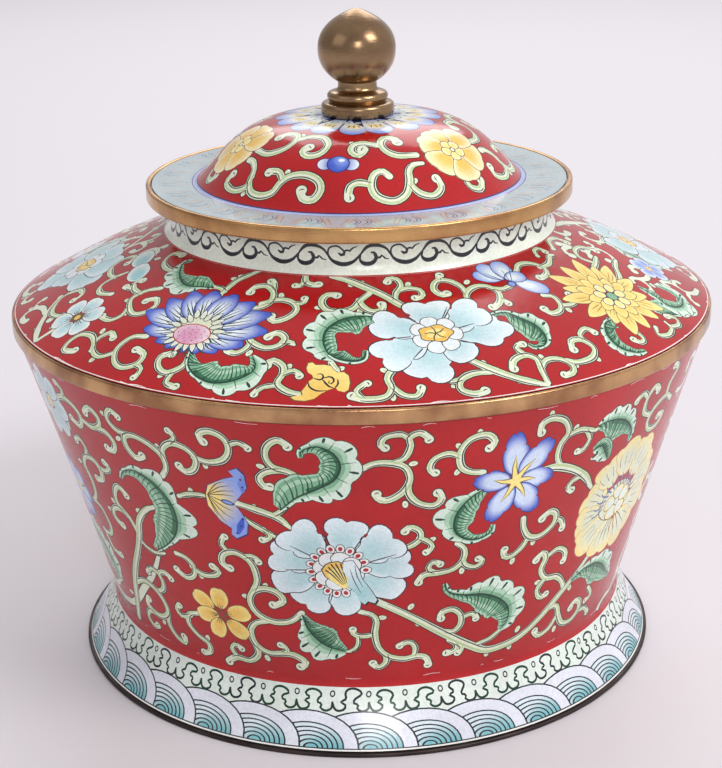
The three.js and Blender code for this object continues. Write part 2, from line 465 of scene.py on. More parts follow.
def curlEnd(path, sheet, reach):
    # where the round end of a curl sits: a little inside the curve
    p = np.array(path, float).reshape(-1, 2)
    per = sheet.scale(p[-1, 1])
    a, b, c = np.vstack([p[:1], p])[-3:] / [per, 1]
    before, after = b - a, c - b
    side = 1 if before[0] * after[1] - before[1] * after[0] > 0 else -1
    way = math.atan2(after[1], after[0]) + side * math.radians(62)
    x, y = c + reach * np.array([math.cos(way), math.sin(way)])
    return x * per, y, math.degrees(way)


def ended(stems):
    # a stem ends in the round bulb of a curl unless it says thin
    return [(stem[0], stem[1], stem[2] if len(stem) > 2 else "bulb") for stem in stems]


def vines(sheet, rows, plain=False):
    # pale stems laid coat by coat, so that branches run into one another: a dark edge,
    # a cream body with a round end to each curl, a green side, a thin dark line on the other
    body = [0.86, 0.84, 0.98, 1.04, 0.94, 0.9, 1.0]

    def widths(w, end, add=0.0):
        return [w * x + add for x in body + ([1.02, 1.04, 0.95] if end == "bulb" else [0.8, 0.5])]

    def ends(ink, add):
        for w, path, end in rows:
            if end == "bulb":
                x, y, way = curlEnd(path, sheet, 0.5 * w)
                sheet.dot(x, y, 1.34 * w + add, ink, 14)

    for w, path, end in rows:
        sheet.stroke(path, widths(w, end, 0.42), "shade")
    ends("shade", 0.4)
    for w, path, end in rows:
        sheet.stroke(path, widths(w, end), "cream")
    ends("cream", 0.0)
    if plain:
        return
    for i, (w, path, end) in enumerate(rows):
        side = 1 if (i * 7) % 3 else -1
        core = [0.06] + [x * 0.3 for x in widths(w, end)[1:-1]] + [0.06]
        sheet.stroke(path, core, "stem", shift=side * w * 0.5, step=1.6)
    for i, (w, path, end) in enumerate(rows):
        side = -1 if (i * 7) % 3 else 1
        sheet.stroke(path, [0.06, 0.2, 0.24, 0.2, 0.24, 0.18, 0.06], "stemLine", shift=side * w * 0.6,
                     part=(0.04, 0.92))
        if end == "bulb":
            x, y, way = curlEnd(path, sheet, 0.75 * w)
            put = sheet.around(x, y, way - 90)
            sheet.stroke(put([(-0.5 * w, -0.5 * w), (-0.1, 0.1 * w), (0.45 * w, 0.35 * w)]).ravel(),
                         [0.1, 0.24, 0.12], "stemLine", step=0.7)


def thorn(sheet, theta, s, turn=0.0, size=1.0):
    # a small bud on a stem: turn 0 points up; the stem, painted later, covers its foot
    put = sheet.around(theta, s, turn, size)
    a = np.linspace(0, 2 * np.pi, 12, endpoint=False)
    body = np.stack([0.95 * np.sin(a), 1.45 * np.cos(a) - 0.35], 1)
    sheet.lay(put(body * 1.3), "shade")
    sheet.lay(put(body), "cream")
    sheet.lay(put([(-0.45, -0.7), (0.45, -0.7), (0, 0.5)]), "stem")


def leaf(sheet, spine, left, right, frill="right", lobes=5, veins=24):
    # a curled leaf along its spine (degrees, mm): a striped blade on one side, a pale scalloped
    # frill with dark comma marks on the other; left and right are the widths in mm
    mid = smooth(spine, sheet, 0.8)
    count = len(mid)
    t = np.linspace(0, 1, count)
    per = sheet.scale(mid[:, 1])
    x, y = mid[:, 0] / per, mid[:, 1]
    dx, dy = np.gradient(x), np.gradient(y)
    length = np.maximum(np.hypot(dx, dy), 1e-6)
    nx, ny = -dy / length, dx / length

    def side(widths, sign, ripples, depth, extra=0.0):
        w = np.interp(t, np.linspace(0, 1, len(widths)), widths)
        w = np.convolve(np.pad(w, 3, mode="edge"), np.ones(7) / 7, "valid")
        w = w * (1 - depth * (1 - np.abs(np.sin(np.pi * ripples * t)) ** 0.6)) + extra
        reach = np.maximum(w, 0.05) * sign
        return np.stack([(x + nx * reach) * per, y + ny * reach], 1)

    # marks: which side is the frill, and how its edge and the other edge ripple
    frilled, plain = (1, -1) if frill == "left" else (-1, 1)
    wide = {1: left, -1: right}
    ripple = {frilled: (lobes, 0.34), plain: (lobes + 2, 0.08)}
    edges = {k: side(wide[k], k, *ripple[k]) for k in (1, -1)}

    def band(edge, ink, inner=0.0, share=1.0):
        sheet.strip(mid + (edge - mid) * share, mid + (edge - mid) * inner, ink)

    for k in (1, -1):
        band(side(wide[k], k, *ripple[k], 0.34), "leafLine")
    band(edges[frilled], "mint")
    band(edges[frilled], "leafLight", share=0.5)
    band(edges[frilled], "leaf", share=0.24)
    band(edges[plain], "leafLight")
    band(edges[plain], "leaf", share=0.88)
    band(edges[plain], "leafLight", 0.5, 0.72)
    first, last = int(count * 0.25), max(int(count * 0.8), 3)
    sheet.strip((mid + (edges[plain] - mid) * 0.2)[first:last], mid[first:last], "leafDark")
    # close curved stripes across the blade
    for k in range(veins):
        i = int((k + 0.4) / veins * (count - 2))
        j = min(count - 1, i + max(2, int(count * 0.05)))
        a, b = mid[i], mid[j] + (edges[plain][j] - mid[j]) * (0.96 if k % 2 else 0.84)
        bend = (a + b) / 2 + (mid[j] - mid[i]) * 0.3
        sheet.stroke([*a, *bend, *b], [0.3, 0.24, 0.1], "leafLine" if k % 3 == 0 else "leafDark", step=2.4)
    # a comma in each scallop and a short vein to each notch
    for k in range(lobes):
        i, j = int((k + 0.5) / lobes * (count - 1)), int(k / lobes * (count - 1))
        a, b = (mid[i] + (edges[frilled][i] - mid[i]) * share for share in (0.44, 0.84))
        sheet.stroke([*a, *((a + b) / 2), *b], [0.16, 0.5, 0.42], "leafLine", step=1.2)
        if k:
            b = mid[j] + (edges[frilled][j] - mid[j]) * 0.85
            sheet.stroke([*mid[j], *((mid[j] + b) / 2), *b], [0.2, 0.16, 0.06], "leafDark", step=2.0)
    sheet.stroke(mid.ravel(), [0.2, 0.34, 0.4, 0.32, 0.12], "leafLine", step=2.0)


def petalShape(reach, length, width, egg=0.3, point=0.0, lobes=0, ruffle=0.0, grow=0.0, sides=26):
    # one petal pointing up, its tip at reach from the flower's middle; lobes and ruffle notch the tip
    sides = max(sides, lobes * 9)
    a = np.linspace(0, 2 * np.pi, sides, endpoint=False)
    off = np.minimum(a, 2 * np.pi - a)
    swell = np.ones(sides)
    if lobes:
        wave = np.abs(np.cos(lobes * a / 2) if lobes % 2 else np.sin(lobes * a / 2)) ** 0.6
        swell -= ruffle * (1 - wave) * np.clip((2.1 - off) / 0.4, 0, 1)
        swell += 0.1 * ruffle * np.sin(5 * a + reach)
    x = (width / 2 + grow) * np.sin(a) * (1 + egg * np.cos(a)) * swell
    y = (length / 2 + grow) * np.cos(a) * swell * (1 + point * np.exp(-(off / 0.45) ** 2))
    return np.stack([x, y + reach - length / 2], 1)


def petal(sheet, theta, s, turn, reach, length, width, inks, wash=0.8, coats=3, line=0.3, **shape):
    # inks: edge colour, heart colour and the colour of the fine line round it; the heart is
    # washed over the edge colour in coats that shrink towards the petal's foot
    put = sheet.around(theta, s, turn)
    edge, heart, outline = inks
    egg = shape.setdefault("egg", 0.3)
    coats = 1 if sheet.plain else coats
    least = 1 - wash * coats / (coats + 1)

    def share(x, y):
        # how far out in the petal a place lies, by halving: 0 at the heart coat, 1 at the edge
        c, k = math.cos(math.radians(turn)), math.sin(math.radians(turn))
        across, up = (x - theta) / sheet.scale(y), y - s
        u, v = across * c + up * k, up * c - across * k
        low, high = np.full(np.shape(u), least), np.ones(np.shape(u))
        for _ in range(7):
            f = (low + high) / 2
            tall = (v - reach + length * (1 - f) * 0.86 + length * f / 2) / (length * f / 2)
            wide = u / (width / 2 * f ** 1.1 * (1 + egg * np.clip(tall, -1, 1)))
            outside = tall ** 2 + wide ** 2 > 1
            low, high = np.where(outside, f, low), np.where(outside, high, f)
        return (low - least) / (1 - least)

    if sheet.plain:
        shape.update(sides=14, lobes=min(shape.get("lobes", 0), 2))
    sheet.lay(put(petalShape(reach, length, width, grow=line, **shape)), outline)
    for k in range(coats + 1):
        f = 1 - wash * k / (coats + 1)
        inner = shape if k == 0 else dict(shape, ruffle=shape.get("ruffle", 0) * 0.6)
        sheet.lay(put(petalShape(reach - length * (1 - f) * 0.86, length * f, width * f ** 1.1, **inner)),
                  {"from": heart, "to": edge, "share": share, "coat": k})


def rayLines(sheet, theta, s, turn, near, far, fan, count, ink, width=0.14):
    # fine lines that fan out from a flower's middle, between two distances from it
    if sheet.plain:
        return
    put = sheet.around(theta, s, turn)
    for k in range(count):
        a = math.radians(fan * ((k + 0.5) / count - 0.5))
        ray = put([(near * math.sin(a), near * math.cos(a)),
                   ((near + far) / 2 * math.sin(a * 1.15), (near + far) / 2 * math.cos(a * 1.15)),
                   (far * math.sin(a * 1.1), far * math.cos(a * 1.1))])
        sheet.stroke(ray.ravel(), [width, width, width * 0.4], ink, step=2.0)


waves = {"count": 33, "first": -1.1, "low": 2.6, "tall": 12.3, "reach": 10.0, "lean": 1.4,
         "rings": (0.68, 0.56, 0.45, 0.34, 0.23, 0.13), "line": 0.5}


def waveBand(sheet):
    # scallops of water, each lying over the one to its right
    step = 360 / waves["count"]
    a = np.linspace(0, math.pi, 17)
    order = sorted((waves["first"] + step * k + 180) % 360 - 180 for k in range(waves["count"]))
    for theta in order[::-1]:
        def scallop(share):
            x = theta + waves["lean"] * (1 - share) + waves["reach"] * share * np.cos(a)
            return np.stack([x, waves["low"] + waves["tall"] * share * np.sin(a) ** 0.9], 1)

        line = 0.5 * waves["line"] / waves["tall"]
        sheet.lay(scallop(1 + line), "ink")
        sheet.lay(scallop(1 - line), "waveWhite")
        for share in waves["rings"]:
            sheet.lay(scallop(share + line * 0.9), "ink")
            sheet.lay(scallop(share - line * 0.9),
                      spread("waveTeal", "wavePale", (theta + waves["reach"] * share, waves["low"]), 0.5,
                             9))


clouds = {"count": 50, "low": 15.2, "line": 0.4}


def cloudBand(sheet):
    # a running line of rounded humps and hanging crooks, with a small ring between the humps
    step = 360 / clouds["count"]
    unit = [(-3.6, 2.6), (-3.2, 0.8), (-2.5, -0.1), (-1.3, 0.4), (-1.0, 1.8), (-1.9, 2.9), (-0.9, 3.9),
            (-1.5, 5.2), (-1.0, 6.5), (0.2, 6.9), (1.4, 6.1), (1.7, 4.9), (0.9, 3.9), (0.6, 2.6),
            (1.5, 2.0), (1.3, 0.7), (2.3, -0.2), (3.4, 0.6), (3.6, 2.6)]
    for k in range(clouds["count"]):
        theta = -180 + step * (k + 0.5)
        lift, lean = 0.5 * math.sin(k * 1.9), 0.5 * math.sin(k * 2.7)
        path = [(theta + (x + lean * (y > 4)) * step / 7.2, clouds["low"] + y + lift * (y > 4)) for x,
                y in unit]
        sheet.stroke(np.ravel(path), [clouds["line"]] * 2, "leafLine" if k % 3 else "ink", step=0.9)
        sheet.dot(theta + step / 2, clouds["low"] + 5.5, 0.95, "ink", 12, 1.25, 12 * math.sin(k))
        sheet.dot(theta + step / 2, clouds["low"] + 5.5, 0.52, "borderGreen", 10, 1.3, 12 * math.sin(k))


neckScroll = {"count": 21, "line": 0.3, "belly": 0.7}


def paintedGlints(sheet, s, start=0.0, thick=0.16):
    # broken white line of painted glints: short white dashes painted as highlights along an edge ridge
    for k in range(64):
        theta = -180 + 5.6 * k + 2.2 * math.sin(k * 2.3 + start)
        if math.sin(k * 4.1 + start) > -0.1 and abs(theta) < 176:
            long = 2.1 + 1.5 * math.sin(k * 1.7 + start)
            rise = 0.22 * math.sin(k * 3.1)
            sheet.stroke([theta, s + rise, theta + long / 2, s + 0.1 - rise, theta + long, s],
                         [0.06, thick, thick * 0.7, 0.05], "white", step=1.6)


def neckBand(sheet, low):
    # a running scroll: hanging and standing spirals in turn, each with a small leaf hook
    step = 360 / neckScroll["count"]
    thin, belly = neckScroll["line"], neckScroll["belly"]
    hang = [(-4.8, 6.6), (-6.3, 7.9), (-8.4, 7.4), (-8.9, 5.2), (-7.6, 3.0), (-4.8, 1.9), (-2.0, 2.8),
            (0.0, 5.2)]
    curlUp = [(-4.8, 6.6), (-4.3, 5.6), (-5.1, 4.9), (-5.9, 5.5)]
    hookUp = [(-4.6, 6.2), (-3.6, 6.6), (-3.0, 6.2), (-2.2, 7.2), (-0.8, 7.8)]
    stand = [(0.0, 5.2), (1.8, 7.6), (4.4, 8.1), (6.9, 6.9), (8.3, 4.6)]
    curlDown = [(0.0, 5.2), (-0.2, 3.2), (1.2, 2.0), (3.2, 2.3), (4.2, 3.9), (3.6, 5.6), (2.9, 5.7)]
    hookDown = [(4.1, 4.0), (5.2, 3.9), (5.8, 4.6), (6.6, 3.6), (7.8, 3.3)]
    for k in range(neckScroll["count"]):
        theta = -180 + step * (k + 0.5)

        def run(points, widths):
            path = [(theta + x * step / 17.1, low + y) for x, y in points]
            sheet.stroke(np.ravel(path), widths, "ink", step=0.8)

        run(hang, [thin, thin, thin, thin * 1.4, belly, belly, thin * 1.6, thin])
        run(curlUp, [thin, belly * 0.7, belly * 0.8, thin])
        run(hookUp, [thin, belly * 0.5, thin, thin * 0.8, 0.12])
        run(stand, [thin, belly * 0.8, belly * 0.9, thin * 1.3, thin])
        run(curlDown, [thin, thin * 1.3, belly, belly, belly * 0.9, belly * 0.9, thin])
        run(hookDown, [thin, belly * 0.6, thin, thin * 0.8, 0.12])


# stems of the wall: half width in mm, then points as degrees and mm up the wall in turn
wallVines = [
    (1.5, [1.5, 34.5, 5, 30.5, 9, 25.5, 13, 20, 16, 16, 20, 11, 24, 7, 28, 7, 32, 9, 36, 14, 40, 21, 44,
           28, 47, 35, 49, 41], "thin"),
    (1.5, [27.5, 79.5, 31, 80, 35, 77, 38.5, 72, 41, 66], "thin"),
    (1.5, [-58.5, 2, -56, 10, -53.5, 20, -50.5, 30, -47, 40, -45, 47, -43.5, 54, -40.5, 60.5, -38, 63],
     "thin"),
    (1.2, [-10, 83, -10.3, 85.5, -11.8, 87.2, -13.7, 88.4, -14.7, 92, -14.3, 96.5, -12.6, 99.3, -11.1,
           97.5]),
    (1.2, [-12.2, 87.4, -14.6, 86.8, -16.2, 84, -15.8, 81, -14.9, 80.2]),
    (1.2, [-0.5, 88.8, 1.5, 90.8, 4, 90.6, 6, 88.6, 6.7, 84, 5.8, 79.5, 4, 76.6, 2.4, 76.3, 1.6, 78.2]),
    (1.1, [4, 90.8, 5.8, 92.6, 6.6, 97, 6.4, 100.3, 7.9, 101.9, 9.3, 99.6]),
    (1.1, [6.4, 99.8, 5.2, 101.8, 3, 101, 2.3, 98.6, 2.7, 96.8]),
    (1.2, [6.5, 83, 6.7, 78, 8.2, 74.2, 10.6, 72.6, 11.9, 74.8, 11.5, 77.6]),
    (1.1, [5.3, 56, 7.2, 56.9, 8.8, 59.5, 8.7, 62.6, 7.2, 64.6, 6.3, 63.6]),
    (1.0, [8.6, 60, 10, 58.4, 10.9, 56.2, 10.3, 53.8]),
    (1.1, [15.3, 56, 16.7, 53, 16.6, 48.6, 15, 45.4, 12.4, 44.6, 10, 44.4, 8.9, 41.8]),
    (1.0, [12, 44.8, 10.6, 46.6, 11.2, 49.3, 12.6, 48.6]),
    (1.0, [16.6, 49, 17.4, 46, 19.3, 44.8, 20.4, 46.5, 19.8, 48.2]),
    (1.1, [-1.3, 30, 0.8, 28.5, 1.6, 25.5, 1.3, 20, 2, 14, 4, 10, 7, 8.4, 9.6, 9.2, 11.3, 8.2, 12.1, 5.2]),
    (1.1, [3.4, 11, 3.6, 7.6, 2.2, 5.2, 0.9, 6.6]),
    (1.0, [8.9, 9.4, 9.2, 13, 8, 15.8, 6.1, 14.8]),
    (1.0, [1.3, 20, -0.8, 19.3, -2.3, 19.9, -2.9, 21.8]),
    (0.8, [-1.9, 19.4, -1.8, 16, -2.6, 13.4, -4, 12.4], "thin"),
    (1.2, [-12, 28.6, -14.3, 24.6, -17.6, 23.4, -20.6, 25.8, -21.8, 30.5, -20.9, 35.2, -18.5, 37.4, -16.1,
           36.2, -15.3, 33, -17, 30.6]),
    (1.2, [-20.9, 35.5, -19.6, 41, -20.2, 48, -22.8, 51.4, -25.2, 50, -26, 46.2, -24.9, 44]),
    (1.0, [-24.4, 51.2, -25.3, 54, -24.5, 57.4]),
    (1.0, [-21.4, 50, -19.8, 50.8, -18.7, 49.2]),
    (1.2, [-19, 23.4, -21.6, 21.6, -23, 17.5, -22.4, 12, -19.8, 9, -16.6, 9.6, -14.4, 9.3, -12.4, 6.6,
           -13.2, 4.4]),
    (1.0, [-17, 9.6, -15.9, 11.4, -16.8, 13.4]),
    (1.2, [-22.6, 12.5, -22.3, 7.6, -24.4, 4, -27.3, 4.2, -29.6, 1.8]),
    (1.0, [-27, 4.4, -28.1, 7.4, -27.2, 9.8, -25.9, 9]),
    (1.1, [-34.5, 20, -37.2, 18, -38, 13.5, -36.2, 9.4, -34, 7.2, -34, 3.6, -35.6, 1.8]),
    (1.0, [-36.8, 17.8, -39.4, 16, -40.4, 18.2, -39.6, 20.6]),
    (1.1, [-36, 45, -34, 44.2, -32.6, 41.2, -33, 37.4, -34.9, 35.4, -37, 37.2]),
    (1.1, [-33, 41, -31, 38.9, -28.8, 39.2, -27.2, 41.2, -27.9, 43.4]),
    (1.2, [-33.8, 78, -32.5, 82, -32.8, 87, -35, 90.5, -37.8, 92, -39.9, 90.4, -40, 86, -38.6, 82.8, -37.1,
           83.8]),
    (1.1, [-38.4, 92, -41.2, 92.4, -42.6, 96, -41.4, 99.8, -39.9, 98.6]),
    (1.2, [-32.5, 85, -32.2, 89.6, -30.2, 92.8, -27.6, 91.6, -26.3, 88, -27, 83.8, -28.6, 82, -29.8, 83.4]),
    (1.0, [-30.6, 92.6, -29.3, 95, -29.9, 97.6]),
    (1.2, [-26.6, 88.6, -24, 87.6, -21.5, 89.4, -20.3, 93.6, -20.8, 98.2, -22.9, 100.2, -24.7, 98.6, -24.5,
           95.8]),
    (1.0, [-20.3, 95.6, -18.7, 97, -17.2, 95.6]),
    (1.0, [-31.5, 71, -29, 72.8, -25.8, 73.6], "thin"),
    (1.3, [-20.6, 72.4, -18, 70.8, -14.2, 68.2, -12.2, 64.4], "thin"),
    (1.0, [-20, 66.5, -17.6, 63.4, -14.4, 59.6], "thin"),
    (1.0, [-16.9, 63, -15.9, 60.2, -17.1, 58.2]),
    (0.9, [-14.8, 69, -13.2, 71.2, -12.4, 73.4], "thin"),
    (1.2, [-45.2, 48.6, -46.4, 53.6, -48.7, 57.6, -48.4, 62.6, -46.6, 66.4, -44.8, 64.2]),
    (1.2, [-46.4, 53.6, -48.4, 55.8, -50.9, 54.4, -51.7, 50.6, -49.9, 47.8]),
    (0.9, [-45, 44.6, -43.6, 42.6, -41.4, 41.8, -39, 43.2], "thin"),
    (1.2, [-52.7, 21.8, -49, 25.2, -45.8, 24, -44, 20, -43.7, 15, -45.6, 11.6, -48.3, 11, -50.6, 13.4,
           -49.8, 16.8]),
    (1.1, [-45.4, 23.2, -43, 25, -42.2, 29, -42.6, 32.4, -40.8, 33.8, -39.5, 32.6]),
    (1.0, [-42.6, 32.2, -44.6, 33.4, -46.2, 31.2]),
    (1.2, [-43.9, 14, -44.5, 8.6, -43.2, 4.4, -41.2, 3.2, -40.6, 5.4]),
    (1.1, [-48.5, 11, -51, 10.6, -52.4, 7, -51.4, 3.8, -49.5, 4.6]),
    (1.2, [-60, 92, -55.2, 96.4, -52, 95.2, -50.7, 91.4, -52, 87.2, -54.2, 88.2]),
    (1.2, [-50.8, 91, -48, 89.4, -45.6, 91.6, -45.3, 95.2, -46.9, 97.4, -48.5, 95.2]),
    (1.2, [-47.6, 89.4, -44.6, 89.6, -43.1, 86.2, -43.9, 82.6, -45.3, 82.2]),
    (1.0, [-54.8, 96.6, -53.9, 100, -55.4, 102.2]),
    (1.2, [-59, 52, -57, 56, -56.2, 62, -56.9, 68, -55, 72.8, -52.2, 73.6, -50.6, 70.8, -51.1, 66.4, -53,
           64.8]),
    (1.1, [-54.6, 73, -53.3, 77, -54.4, 80.6, -56.2, 79]),
    (1.1, [-51, 71.4, -49, 70.8, -47.3, 72.8, -48, 75]),
    (1.1, [-60, 39, -57, 39.4, -55.5, 44, -56.6, 50, -59.4, 52.4], "thin"),
    (1.1, [-59.8, 39.4, -58.6, 32, -55.5, 31]),
    (1.2, [18.2, 83.8, 16, 84.8, 14.5, 87.5, 14.2, 93, 15.5, 97.4, 17.9, 98.4, 19.3, 95.6, 18.9, 93.2]),
    (1.1, [14.3, 91, 12.4, 92.8, 10.4, 91.4, 9.7, 88, 10.3, 85.8]),
    (1.2, [32.2, 79.8, 31.2, 84, 31.3, 89, 32.3, 93, 31, 98.2, 28.6, 100.4, 26.9, 99, 26.8, 95.8]),
    (1.1, [32, 91.6, 34.8, 92.6, 37.6, 90.6, 38.6, 91], "thin"),
    (1.0, [35.8, 92, 37.2, 88, 36.5, 84.2, 35.2, 83.6]),
    (1.1, [37.8, 72.8, 35.9, 72, 35.1, 69.6, 35.9, 67.8]),
    (1.2, [27, 61.5, 27.5, 57, 29, 52.8, 31.5, 52, 33.9, 55.4, 34, 59.4, 32.6, 61.4, 31, 59.8]),
    (1.1, [34.2, 57.6, 35.6, 56, 36.4, 52.8]),
    (1.1, [28.8, 53.2, 28, 49.6, 26.2, 46.6, 24.7, 46.8, 24.2, 49.4]),
    (1.1, [14.6, 18.8, 16.6, 18.2, 17.8, 21, 17.5, 25.2, 15.9, 28, 13.9, 27.4, 13.5, 25]),
    (1.0, [17.7, 23.8, 19.8, 24.8, 20.9, 22.6]),
    (1.1, [15.8, 14.6, 17.3, 12.4, 17.3, 9.8, 15.8, 8.6]),
    (1.0, [17.2, 13, 18.6, 10.6, 18.2, 8.2]),
    (1.0, [27, 15, 24.6, 11.6, 21.2, 10.2], "thin"),
    (1.2, [41, 24.6, 39.9, 28, 38, 31, 35.2, 32.2, 33.6, 36.4, 34.1, 41, 33.2, 43.8, 31.8, 42.2]),
    (1.1, [34.2, 41.4, 36.6, 43.4, 38.7, 41, 39.1, 37.4]),
    (1.1, [35.2, 32, 33.8, 28, 34.8, 24.2, 36.2, 24]),
    (1.2, [37.6, 17.2, 40.4, 16.6, 41.8, 11.6, 43.8, 6.8, 46.8, 5.8, 48.9, 8.6, 48.5, 12.8, 46.6, 14.4,
           45.5, 12.8]),
    (1.1, [41.4, 11.8, 39.6, 7.2, 37.2, 6, 35.7, 8.2]),
    (1.0, [48.6, 8.4, 51.4, 8, 53.6, 4.8]),
    (1.2, [52.6, 87, 50.4, 89.6, 50, 95, 51.4, 98.6, 53, 96.8]),
    (1.1, [50, 95.4, 48.4, 98.2, 46.8, 96.6]),
    (1.2, [60.5, 88, 57.4, 91, 54, 88.6, 53, 84, 54.6, 80, 57.6, 79.6, 59, 82.8, 57, 84]),
    (1.2, [57.6, 90.8, 57.2, 96, 58.6, 101, 57, 103.4]),
    (1.0, [50.5, 17.5, 52.5, 13, 51.2, 11.2]),
]
wallThorns = [
    (-15.8, 88.6, 70), (6.2, 73.8, 190), (7.3, 90.2, -80), (11, 59, -60), (16.7, 43.8, 180), (8, 31.5, -30),
    (9.4, 23.4, 190), (2.9, 27.2, -90), (-22.7, 33, 80), (-18.2, 39, -20), (-20.3, 6.2, 200),
    (-33.8, 9.8, -10), (-31.3, 37.6, 190), (-33.1, 90.2, 10), (-41.6, 88.6, 120), (-43.4, 97.6, 60),
    (-24.8, 85.8, 180), (-17.8, 71.8, 0), (-52.7, 53, 80), (-50, 58.4, 40), (-46.4, 8.6, 160),
    (16.8, 100, 0), (13.7, 95.6, 40), (13.9, 85, 150), (28.2, 102.4, 0), (33.6, 94.4, -30),
    (30.1, 49.8, 180), (26.4, 43.8, 170), (31, 12.8, -20), (24.4, 4.8, 180), (29.7, 5.2, 190),
    (33.3, 31.2, 90), (41.7, 5.4, 180), (-58.8, 68.4, 90), (-28.8, 74.6, 0), (-47.5, 36.5, -70),
    (-42.6, 59, -60), (-57.5, 14, 90), (48.4, 36.6, -90), (43.2, 22.4, 200), (19.8, 12.4, 30),
]
wallLeaves = [
    # spine, left widths, right widths, which side is frilled, scallops
    ([-13.4, 71.6, -10.6, 77, -7.4, 80.6, -4.6, 84.5, -3.6, 90, -4.6, 95, -7, 97.4, -9.2, 95.4, -9.4, 92.8],
     [2.5, 8, 8.5, 5, 6, 7, 5, 2, 0.8], [1, 1.5, 3.5, 8.5, 6, 7.5, 6, 1.5, 0.8], "right", 8),
    ([-12, 27.5, -11.2, 22, -9.6, 17.5, -7.6, 14.5, -5.4, 13, -4.2, 12.4],
     [0.8, 4, 7, 8, 6, 1], [0.8, 1.5, 7.5, 8.5, 7, 1], "right", 5),
    ([-40.8, 43.4, -37.4, 48, -34.6, 54, -33.4, 61, -34, 68, -36.4, 74, -40, 76.6, -43.2, 74.6, -44.6, 71],
     [2, 5.5, 9.5, 10, 9, 8.5, 4.5, 2, 0.8], [0.8, 1, 2, 11, 3, 7.5, 3, 1.2, 0.8], "right", 8),
    ([19.4, 77.6, 16.6, 74, 14.6, 68, 14.6, 61.5, 16.6, 57.5, 19, 56.6, 21, 58.4, 21.4, 61.6],
     [0.8, 5, 6.5, 7, 4, 2.4, 1.4, 1], [1, 1.5, 6.5, 8, 3, 1.6, 1.2, 1], "right", 6),
    ([13.9, 39.6, 14.6, 36, 17.4, 33.6, 21.4, 32.4, 25, 29, 27.6, 23.6, 27.8, 18, 26.6, 14.6],
     [0.8, 1.5, 3, 8.5, 7, 8.5, 5, 1], [0.8, 1.4, 3, 7.5, 8, 8.5, 6.5, 1], "left", 8),
    ([38.4, 92, 41, 92.4, 44, 91, 46.6, 87.6, 48.2, 83, 48, 79.8],
     [0.8, 5, 6, 5, 2, 0.8], [1.2, 6, 10, 7, 2.5, 0.8], "left", 6),
    ([38.8, 82, 40.6, 83, 42, 79.6, 43.2, 76], [1, 3.4, 4, 0.8], [1, 6, 6.5, 0.8], "right", 3),
    ([43, 26, 46.4, 28.4, 50.4, 28, 54, 24.6, 57, 19.6, 59.6, 16.6],
     [0.8, 2, 3.5, 7, 4.5, 0.8], [0.8, 4, 8, 9, 5, 0.8], "left", 5),
    ([-63.4, 88, -61.6, 95, -58.6, 92, -57.8, 85, -59.6, 80], [1, 5, 5, 4, 1], [1, 5, 6, 5, 1], "left", 5),
]


paleInks = ("ice", "iceShade", "ink")
starInks = ("cobalt", "paleBlue", "navy")


